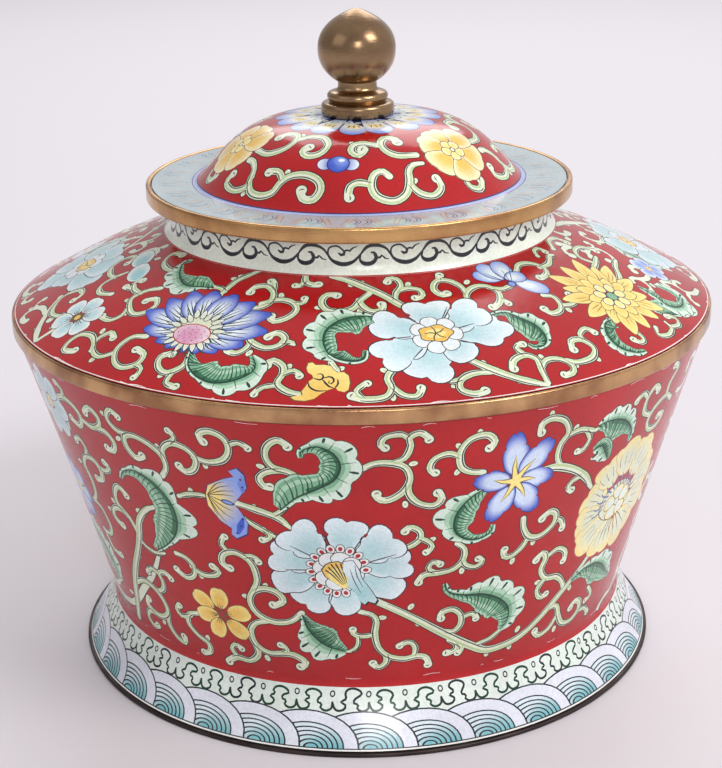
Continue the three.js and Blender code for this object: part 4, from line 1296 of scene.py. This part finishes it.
def makeShoulder(material):
    # the shoulder and neck, with the lip, the bore and the inside
    shoulder, neck = Line(shoulderRows(30)), Line(neckRows())
    w, low = jar["wall"], jar["bandTop"] + jar["seam"]
    seat, innerSeat, joint = hiddenJoint()
    joint += jar["jointGap"]
    upper = Shell("painted_shoulder")
    upper.rings([(innerSeat, joint), (seat, joint)], "brown", (0.01, 0.02))
    upper.rings([(seat, joint), (seat, low)], "brown", (0.02, 0.03))
    upper.rings([(seat, low), (jar["shoulderRadius"], low)], "brown", (0.03, 0.04))
    band = Sheet(shoulder, shoulder.s[0], shoulder.s[-1], "red")
    dress(band, shoulderVines, shoulderThorns, shoulderLeaves, shoulderFlowers)
    band.hoop(0.3, 0.62, "white")
    # white dashes painted as glints along the shoulder's edge by the band
    paintedGlints(band, 0.7, 1.0, 0.2)
    upper.sheet(band, (0.04, 0.6))
    band = Sheet(neck, neck.s[0], neck.s[-1], "neckCream", 2.0)
    band.hoop(0, 0.4, "red")
    neckBand(band, 2.2)
    upper.sheet(band, (0.6, 0.75))
    lip, bore = jar["lip"], jar["neckRadius"] - w
    inside = [(jar["neckRadius"] - 0.8, lip), (bore + 0.5, lip), (bore, lip - 0.5),
              (bore, jar["neckFoot"] - w)]
    inside += [(r - 0.9, z - w) for r, z in shoulderRows(8)[::-1][1:-1]]
    inside += [(innerSeat, joint)]
    upper.rings(inside, "inside", (0.76, 0.98))
    upper.make(material, "shoulder")


# the lid in mm
cover = {
    "brimRadius": 73.2, "brimUnder": 170.3, "brimTop": 172.3, "domeRadius": 58.1, "domeHeight": 22.0,
    "squareness": 4.5, "spring": 1.4, "wall": 2.0, "flangeRadius": 65.1, "flangeDepth": 11.0,
}


def domeRows(first, last, steps):
    # the dome between two shares of its way from brim to top
    t = np.linspace(first, last, steps)
    share = np.cos(np.pi / 2 * t)
    fall = (1 - share ** cover["squareness"]) ** cover["spring"]
    return np.stack([cover["domeRadius"] * share, cover["brimTop"] + cover["domeHeight"] * fall], 1)


def brimBand(sheet):
    # pale brim: slanted pairs of thin brown bars, grey-blue curls between them, a lavender inner edge
    count = 26
    step = 360 / count
    low = sheet.low
    for k in range(count):
        theta = -180 + step * (k + 0.56)
        for x, lean in ((-2.1, -2.2), (1.5, 2.2)):
            for shift in (-0.5, 0.6):
                sheet.stroke([theta + x + shift, low + 2.6, theta + x + lean * 0.5 + shift * 1.3, low + 7,
                              theta + x + lean * 1.2 + shift * 1.6, low + 11.6], [0.14, 0.3, 0.42, 0.2],
                              "brimTan", step=2)
            sheet.dot(theta + x + lean * 1.6, low + 12.6, 0.6, "navy", 10)
            sheet.dot(theta + x + lean * 1.6, low + 12.6, 0.4, "white", 8)
        for x in (5.2, 8.2):
            arcPath = [theta + x - 1.6, low + 3.2, theta + x, low + 4.6, theta + x + 0.6, low + 7.8,
                       theta + x - 0.8, low + 10.4]
            sheet.stroke(arcPath, [0.15, 0.62, 0.62, 0.2], "brimBlue", step=1.6)
            sheet.stroke(arcPath, [0.1, 0.16, 0.1], "navy", shift=0.62, step=1.8)
            sheet.stroke(arcPath, [0.08, 0.13, 0.08], "navy", shift=-0.62, step=1.8)
    sheet.hoop(16.4, 40, "lavender")
    sheet.hoop(16.2, 16.5, "navy")


domeVines = [
    (1.1, [12, 14.5, 9.5, 16.6, 6, 15.4, 4.6, 11, 6.6, 7, 12, 5.2, 16.8, 7.4, 19.4, 12, 20.4, 16, 23.4,
           18.2, 28, 18.4],
     "thin"),
    (1.0, [19.2, 11.4, 22, 7.2, 27, 5.6, 31.2, 8, 31.4, 11.4]),
    (1.0, [4.7, 11.6, 0, 12.6, -3.4, 11.2, -4.2, 7.4]),
    (1.1, [9.4, 28.6, 3, 30, -2.4, 29, -3.4, 26, -0.2, 24, 2.4, 26]),
    (1.1, [27, 22.2, 18, 23, 13, 26, 12.2, 30, 16, 32.8, 20.8, 31.6, 22, 30]),
    (1.1, [-36, 30.6, -29, 33.4, -21, 33, -16.6, 29, -18.6, 24.6, -24, 23, -28, 25, -27, 27]),
    (1.1, [-54, 22, -46, 21.6, -39, 25, -37, 29.5, -40, 33, -47, 33, -50, 30.5]),
    (1.1, [-54, 17.4, -50.6, 17, -47, 14, -46, 10, -43, 6.2, -38, 5.2, -33.2, 7, -31.4, 11, -28, 14, -22,
           15, -16.6, 13.4, -14.6, 10, -16.4, 6.2, -20, 6, -22, 8.4]),
    (1.0, [-46, 11.6, -46.6, 7.2, -52, 5.2, -58, 7, -58.2, 10.4]),
    (1.0, [-30.8, 12, -34, 15, -38.4, 15]),
    (1.0, [46.4, 16, 44, 11, 44, 6.4, 48, 4.6, 51, 7]),
]
domeThorns = [(-45.6, 5, 180), (-30, 15.4, 0), (-36.2, 33.6, -20), (21.6, 12, -60), (9, 5.2, 190),
              (-3.4, 30.2, 60)]
lappets = {"count": 8, "first": -16.0}


def domeBand(sheet):
    # vines, flowers and buds three times round, and lappets round the knob
    stems = []
    for turn in (-240, -120, 0, 120, 240):
        for width, path, end in ended(domeVines):
            moved = [x + turn if i % 2 == 0 else x for i, x in enumerate(path)]
            if -200 < moved[0] < 200:
                stems.append((width * 1.3, moved, end))
        for theta, s, way in domeThorns:
            if -185 < theta + turn < 185:
                thorn(sheet, theta + turn, s, way, 1.1)
    vines(sheet, stems)
    for turn in (-240, -120, 0, 120, 240):
        # yellow flowers and blue buds in turn
        for theta in (47.5 + turn, -72 + turn):
            if not -190 < theta < 190:
                continue
            for angle in (0, 60, 116, 176, -124, -62):
                petal(sheet, theta, 21.5, angle, 14 if abs(angle) > 60 else 12.6, 11, 11,
                      ("primrose", "yellow", "brown"), egg=0.3, lobes=2, ruffle=0.2, coats=3)
                rayLines(sheet, theta, 21.5, angle + 30, 3, 8.6, 8, 1, "brown", 0.2)
            for angle in range(0, 360, 72):
                petal(sheet, theta, 21.5, angle + 20, 4.6, 3.8, 3.6, ("primrose", "paleYellow", "brown"),
                      egg=0.2, coats=1)
            sheet.dot(theta, 21.5, 1.2, "brown", 10)
            sheet.dot(theta, 21.5, 0.8, "white", 8)
        theta = -9 + turn
        if -190 < theta < 190:
            per = sheet.scale(20)
            for x in (-4.4, 4.4):
                sheet.dot(theta + x * per, 19.8, 2.9, "navy", 16, 0.9)
                sheet.dot(theta + x * per, 19.8, 2.55, spread("cobalt", "ice", (theta, 20), 2.8, 6.6), 16,
                          0.9)
            # the ball's blue, paler round a point up and to the right, is painted shading, and the small
            # ice dot there is a painted highlight
            sheet.dot(theta, 20, 3.9, "navy", 20, 0.92)
            sheet.dot(theta, 20, 3.5, spread("skyBlue", "cobalt", (theta + per, 21.4), 0.8, 3.6), 20, 0.92)
            sheet.dot(theta + per, 21.6, 1.1, "ice", 10, 0.6)
    # overlapping lappets round the knob
    step = 360 / lappets["count"]
    for k in range(lappets["count"]):
        theta = -180 + (lappets["first"] % step) + step * k
        for side in (0.27, 0.73):
            middle = theta + step * side
            a = np.linspace(0, math.pi, 14)
            edge = [(middle + step * 0.26 * math.cos(b), 44 - 7.6 * math.sin(b) ** 0.8) for b in a]
            sheet.lay([(x, y - 0.5) for x, y in edge] + [(theta, 60), (theta + step, 60)], "navy")
            sheet.lay(edge + [(middle - step * 0.26, 60), (middle + step * 0.26, 60)],
                      spread("white", "skyBlue", (middle, 46), 3.4, 8.6))
            sheet.dot(middle, 44.6, 3.4, spread("paleYellow", "white", (middle, 44.6), 1, 3.4), 14, 0.9)
            for j in (-1, 0, 1):
                put = sheet.around(middle, 44.6)
                sheet.stroke(put([(j * 2.2, 1.4), (j * 1.5, 0), (j * 2.4, -1.8)]).ravel(), [0.1, 0.3, 0.1],
                             "brown", step=1.0)
        sheet.stroke([theta, 40.5, theta, 47, theta, 56], [0.3, 0.3], "navy")
    for k in range(24):
        sheet.dot(-180 + 15 * k, 49.6, 1.4, "leafLine", 12)
        sheet.dot(-180 + 15 * k, 49.6, 1.1, "mint", 12)
    sheet.hoop(-2, 0.7, "lavender")
    sheet.hoop(0.7, 1.2, "navy")


def makeLid(material):
    # brim, dome, hollow underside and the collar that reaches into the neck
    shell = Shell("painted_lid")
    r, under, top, w = cover["brimRadius"], cover["brimUnder"], cover["brimTop"], cover["wall"]
    shell.rings([(cover["flangeRadius"], under), (r, under)], "inside", (0.01, 0.03))
    shell.rings([(r, under), (r, top)], "brimGrey", (0.03, 0.05))
    brim = Line([(r, top), (cover["domeRadius"], top)], start=2.2)
    band = Sheet(brim, brim.s[0], brim.s[-1], "brimGrey", 2.5)
    brimBand(band)
    shell.sheet(band, (0.05, 0.25))
    dome = Line(domeRows(0, 0.9, 44))
    band = Sheet(dome, dome.s[0], dome.s[-1], "red", 2.4)
    domeBand(band)
    shell.sheet(band, (0.25, 0.75))
    shell.rings(domeRows(0.9, 1, 5)[:-1].tolist() + [(0, top + cover["domeHeight"])], "red", (0.75, 0.8))
    inner = domeRows(0.2, 1, 20)[::-1]
    ceiling = [(0, top + cover["domeHeight"] - w)]
    ceiling += [(max(r - w, 0.5), z - w) for r, z in inner if r > w + 1 and z > under + w + w]
    ceiling += [(cover["domeRadius"] - w, under)]
    shell.rings(ceiling, "inside", (0.8, 0.9))
    collar = cover["flangeRadius"]
    rim = [(cover["domeRadius"] - w, under), (collar - w, under), (collar - w,
                                                                   under - cover["flangeDepth"]),
           (collar, under - cover["flangeDepth"]), (collar, under)]
    for a, b in zip(rim, rim[1:]):
        shell.rings([a, b], "inside", (0.9, 0.99))
    shell.make(material, "lid")


brassBand = {"name": "brass_band", "outer": 125, "thick": 1.7, "low": 124.8, "height": 5.2, "edge": 0.7,
             "node": "shoulder_band", "slot": "band_brass"}
lidRing = {"name": "lid_ring", "outer": 75.4, "thick": 1.9, "low": 167.3, "height": 5.2, "edge": 0.7,
           "node": "lid_rim", "slot": "rim_brass"}
darkFoot = {"name": "dark_foot", "outer": 106.8, "thick": 3.4, "low": 0, "height": 1.5, "edge": 0.5,
            "node": "foot_rim", "slot": "dark_brass"}
roundSides = 180


def turnedRing(size, material):
    # an open cylinder that is given its thickness and rounded edges
    bpy.ops.object.select_all(action="DESELECT")
    middle = size["low"] + size["height"] / 2
    bpy.ops.mesh.primitive_cylinder_add(vertices=roundSides, radius=size["outer"] * mm,
                                        depth=size["height"] * mm, end_fill_type="NOTHING",
                                        location=(0, 0, middle * mm))
    ring = bpy.context.object
    ring.name = size["name"]
    bpy.ops.object.transform_apply(location=True, rotation=True, scale=True)
    ring.modifiers.new("thick", "SOLIDIFY").thickness = size["thick"] * mm
    ring.modifiers["thick"].offset = -1
    bpy.ops.object.modifier_apply(modifier="thick")
    bevel = ring.modifiers.new("edge", "BEVEL")
    bevel.width, bevel.segments, bevel.angle_limit = size["edge"] * mm, 3, math.radians(40)
    bpy.ops.object.modifier_apply(modifier="edge")
    bpy.ops.object.shade_smooth_by_angle(angle=math.radians(35))
    ring.data.materials.append(material)
    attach(ring, "root")
    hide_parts(size["node"])
    print("made", ring.name)


# the knob in mm: radius and height of its base, step and neck, then the ball's radius, how far it
# reaches below and above its widest ring, the roundings of base and step, and its underside
knob = {"base": (12.8, 4.3), "step": (10.7, 3.7), "neck": (6.8, 3.4), "ball": 13.6, "drop": 10.8,
        "rise": 14.4, "baseRound": 1.3, "stepRound": 1.66, "foot": 194.6}


def knobRows():
    # the knob's outline from its underside up, and the height of its tip
    baseRadius, baseHeight = knob["base"]
    stepRadius, stepHeight = knob["step"]
    neckRadius, neckHeight = knob["neck"]
    foot, baseRound, stepRound = knob["foot"], knob["baseRound"], knob["stepRound"]
    baseTop, stepTop = foot + baseHeight, foot + baseHeight + stepHeight
    neckTop = stepTop + neckHeight
    widest = neckTop + knob["drop"]
    rows = [(baseRadius - 0.5, foot), (baseRadius, foot + 0.8)]

    def rounding(radius, top, size, angles):
        for a in angles:
            c, k = math.cos(math.radians(a)), math.sin(math.radians(a))
            rows.append((radius - size + size * c, top - size + size * k))

    rounding(baseRadius, baseTop, baseRound, (0, 30, 60, 90))
    rows.append((stepRadius - 0.9, baseTop + 0.1))
    rounding(stepRadius, stepTop, stepRound, (-40, -15, 10, 35, 60, 80))
    rows += [(neckRadius + 0.9, stepTop + neckHeight * 0.12), (neckRadius + 0.2,
                                                               stepTop + neckHeight * 0.3),
             (neckRadius, stepTop + neckHeight * 0.55)]
    under = math.asin(neckRadius / knob["ball"])
    for k in range(14):
        a = under + (math.pi / 2 - under) * k / 13
        rows.append((knob["ball"] * math.sin(a), widest - knob["drop"] * math.cos(a) / math.cos(under)))
    for k in range(1, 30):
        share = math.sin(math.pi / 2 * k / 30)
        rows.append((knob["ball"] * (1 - share ** 2.5) ** 0.83, widest + knob["rise"] * share))
    return rows, widest + knob["rise"]


def makeKnob(material):
    # a ring of the foot's size, drawn up and widened or narrowed step by step
    rows, tip = knobRows()
    bpy.ops.object.select_all(action="DESELECT")
    bpy.ops.mesh.primitive_circle_add(vertices=96, radius=rows[0][0] * mm, fill_type="NGON",
                                      location=(0, 0, rows[0][1] * mm))
    ball = bpy.context.object
    ball.name = "brass_knob"
    bpy.ops.object.transform_apply(location=True, rotation=True, scale=True)
    bpy.ops.object.mode_set(mode="EDIT")
    bpy.ops.mesh.select_all(action="SELECT")
    for (r0, z0), (r1, z1) in zip(rows, rows[1:]):
        bpy.ops.mesh.extrude_region_move(TRANSFORM_OT_translate={"value": (0, 0, (z1 - z0) * mm)})
        bpy.ops.transform.resize(value=(r1 / r0, r1 / r0, 1), center_override=(0, 0, z1 * mm))
    bpy.ops.mesh.extrude_region_move(TRANSFORM_OT_translate={"value": (0, 0, (tip - rows[-1][1]) * mm)})
    bpy.ops.mesh.merge(type="CENTER")
    bpy.ops.mesh.select_all(action="SELECT")
    bpy.ops.mesh.normals_make_consistent(inside=False)
    bpy.ops.object.mode_set(mode="OBJECT")
    bpy.ops.object.shade_smooth_by_angle(angle=math.radians(50))
    ball.data.materials.append(material)
    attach(ball, "root")
    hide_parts("finial")
    print("made knob")


def nodesOf(name):
    # a new material with its node tree and shader
    material = bpy.data.materials.new(name)
    material.use_nodes = True
    tree = material.node_tree
    return material, tree, tree.nodes["Principled BSDF"]


def mapped(tree, scale):
    # the piece's own coordinates, scaled
    place = tree.nodes.new("ShaderNodeTexCoord")
    turn = tree.nodes.new("ShaderNodeMapping")
    turn.inputs["Scale"].default_value = scale
    tree.links.new(place.outputs["Object"], turn.inputs["Vector"])
    return turn.outputs["Vector"]


def noise(tree, vector, scale, detail=3.0, rough=0.5):
    # cloudy pattern between 0 and 1
    node = tree.nodes.new("ShaderNodeTexNoise")
    node.inputs["Scale"].default_value = scale
    node.inputs["Detail"].default_value = detail
    node.inputs["Roughness"].default_value = rough
    tree.links.new(vector, node.inputs["Vector"])
    return node.outputs["Fac"]


def spanned(tree, value, low, high, toLow, toHigh):
    # a value taken from one span to another
    node = tree.nodes.new("ShaderNodeMapRange")
    for key, number in zip(("From Min", "From Max", "To Min", "To Max"), (low, high, toLow, toHigh)):
        node.inputs[key].default_value = number
    tree.links.new(value, node.inputs["Value"])
    return node.outputs["Result"]


def mixed(tree, kind, share, first, second):
    # two colours mixed by a share
    node = tree.nodes.new("ShaderNodeMix")
    node.data_type = "RGBA"
    node.blend_type = kind
    for socket, value in ((node.inputs[0], share), (node.inputs[6], first), (node.inputs[7], second)):
        if isinstance(value, bpy.types.NodeSocket):
            tree.links.new(value, socket)
        else:
            socket.default_value = value
    return node.outputs[2]


def bumped(tree, shader, height, strength, distance):
    # a shader's surface made uneven by a pattern
    node = tree.nodes.new("ShaderNodeBump")
    node.inputs["Strength"].default_value = strength
    node.inputs["Distance"].default_value = distance
    tree.links.new(height, node.inputs["Height"])
    tree.links.new(node.outputs["Normal"], shader.inputs["Normal"])


def enamel(name, roughness):
    # painted colours under a slightly uneven gloss, a little mottled and pitted
    material, tree, shader = nodesOf(name)
    tint = tree.nodes.new("ShaderNodeAttribute")
    tint.attribute_name = "paint"
    flat = mapped(tree, (1, 1, 1))
    cloud = spanned(tree, noise(tree, flat, 38, 4), 0.3, 0.7, 0.9, 1.1)
    grain = spanned(tree, noise(tree, flat, 1000, 3, 0.6), 0.3, 0.75, 1.08, 0.88)
    shade = tree.nodes.new("ShaderNodeMath")
    shade.operation = "MULTIPLY"
    tree.links.new(cloud, shade.inputs[0])
    tree.links.new(grain, shade.inputs[1])
    worn = tree.nodes.new("ShaderNodeVectorMath")
    worn.operation = "SCALE"
    tree.links.new(tint.outputs["Color"], worn.inputs[0])
    tree.links.new(shade.outputs[0], worn.inputs["Scale"])
    tree.links.new(worn.outputs[0], shader.inputs["Base Color"])
    tree.links.new(spanned(tree, noise(tree, flat, 260, 3), 0.3, 0.7, roughness * 0.75, roughness * 1.3),
                   shader.inputs["Roughness"])
    bumped(tree, shader, noise(tree, flat, 300, 3), 0.08, 0.0004)
    return material


# metals: main tone, tone of the worn patches, roughness, and how far the patches show
metals = {
    "band_brass": ((204, 162, 116), (130, 82, 60), 0.2, 0.7),
    "rim_brass": ((204, 160, 106), (146, 96, 66), 0.24, 0.5),
    "knob_brass": ((158, 130, 98), (100, 74, 58), 0.22, 0.5),
    "dark_brass": ((74, 66, 64), (46, 40, 40), 0.4, 0.6),
}


def metal(name):
    # brass with patches of another tone, fine turning marks and a little unevenness
    light, dark, roughness, worn = metals[name]
    material, tree, shader = nodesOf(name)
    shader.inputs["Metallic"].default_value = 1.0
    flat = mapped(tree, (1, 1, 1))
    streak = mapped(tree, (1, 1, 14))
    patch = spanned(tree, noise(tree, flat, 55, 4), 0.42, 0.62, 0.0, worn)
    tree.links.new(mixed(tree, "MIX", patch, (*linear(light), 1), (*linear(dark), 1)),
                   shader.inputs["Base Color"])
    tree.links.new(spanned(tree, noise(tree, flat, 140, 4), 0.3, 0.7, roughness * 0.75, roughness * 1.35),
                   shader.inputs["Roughness"])
    bumped(tree, shader, noise(tree, streak, 220, 3), 0.14, 0.0003)
    return material


bodyEnamel = enamel("painted_enamel", 0.17)
lidEnamel = enamel("lid_enamel", 0.14)
makeBowl(bodyEnamel)
makeShoulder(bodyEnamel)
makeLid(lidEnamel)
turnedRing(brassBand, metal("band_brass"))
turnedRing(lidRing, metal("rim_brass"))
turnedRing(darkFoot, metal("dark_brass"))
makeKnob(metal("knob_brass"))


# studio: brightness and tint of the paper's light, the floor's side in m, then place, side and
# power of each lamp, all of which look at the jar's middle
studio = {"bright": 0.86, "tint": (0.87, 0.85, 0.88), "floor": 6, "floorTint": (0.74, 0.71, 0.74, 1),
          "aim": (0, 0, 0.12)}
lamps = {"key": ((1.1, -0.8, 1.4), 0.7, 14), "front": ((0.12, -1.5, 0.8), 0.4, 4),
         "fill": ((-1.2, -0.7, 1.0), 1.0, 1.5), "back": ((0.1, 1.6, 1.5), 1.4, 15)}


def makeStudio():
    # one sheet of paper for floor and sky, and the lamps
    world = bpy.data.worlds.new("studio")
    bpy.context.scene.world = world
    world.use_nodes = True
    tree = world.node_tree
    tree.nodes["Background"].inputs["Strength"].default_value = studio["bright"]
    # the paper's own light: full on the right, dimmer to the left
    sky = tree.nodes.new("ShaderNodeTexCoord")
    split = tree.nodes.new("ShaderNodeSeparateXYZ")
    tree.links.new(sky.outputs["Generated"], split.inputs[0])
    across = spanned(tree, split.outputs["X"], -0.9, 0.3, 0.48, 1.0)
    tint = tree.nodes.new("ShaderNodeVectorMath")
    tint.operation = "SCALE"
    tint.inputs[0].default_value = studio["tint"]
    tree.links.new(across, tint.inputs["Scale"])
    tree.links.new(tint.outputs[0], tree.nodes["Background"].inputs["Color"])
    bpy.ops.object.select_all(action="DESELECT")
    bpy.ops.mesh.primitive_plane_add(size=studio["floor"], location=(0, 0, 0))
    floor = bpy.context.object
    floor.name = "floor"
    material, tree, shader = nodesOf("paper_floor")
    shader.inputs["Base Color"].default_value = studio["floorTint"]
    shader.inputs["Roughness"].default_value = 0.7
    floor.data.materials.append(material)
    for name, (place, size, power) in lamps.items():
        light = bpy.data.lights.new(name, "AREA")
        light.size, light.energy = size, power
        lamp = bpy.data.objects.new(name, light)
        bpy.context.scene.collection.objects.link(lamp)
        lamp.location = place
        way = Vector(studio["aim"]) - Vector(place)
        lamp.rotation_euler = way.to_track_quat("-Z", "Y").to_euler()
    print("studio lit")


# camera: lens and film in mm, place in mm, how far it looks down in degrees, and its lean in radians
view = {"lens": 83.995, "film": 36, "place": (-0.67, -624.3, 316.0), "down": 19.607, "lean": -0.01868}


def makeCamera():
    # stands in front of the jar and looks down on it
    data = bpy.data.cameras.new("camera")
    data.lens, data.sensor_width = view["lens"], view["film"]
    camera = bpy.data.objects.new("camera", data)
    bpy.context.scene.collection.objects.link(camera)
    bpy.context.scene.camera = camera
    tilt = Matrix.Rotation(math.radians(90 - view["down"]), 4, "X")
    lean = Matrix.Rotation(view["lean"], 4, "Z")
    camera.matrix_world = Matrix.Translation(Vector(view["place"]) * mm) @ tilt @ lean
    print("camera set")


makeStudio()
makeCamera()
bpy.context.scene.view_settings.view_transform = "Standard"
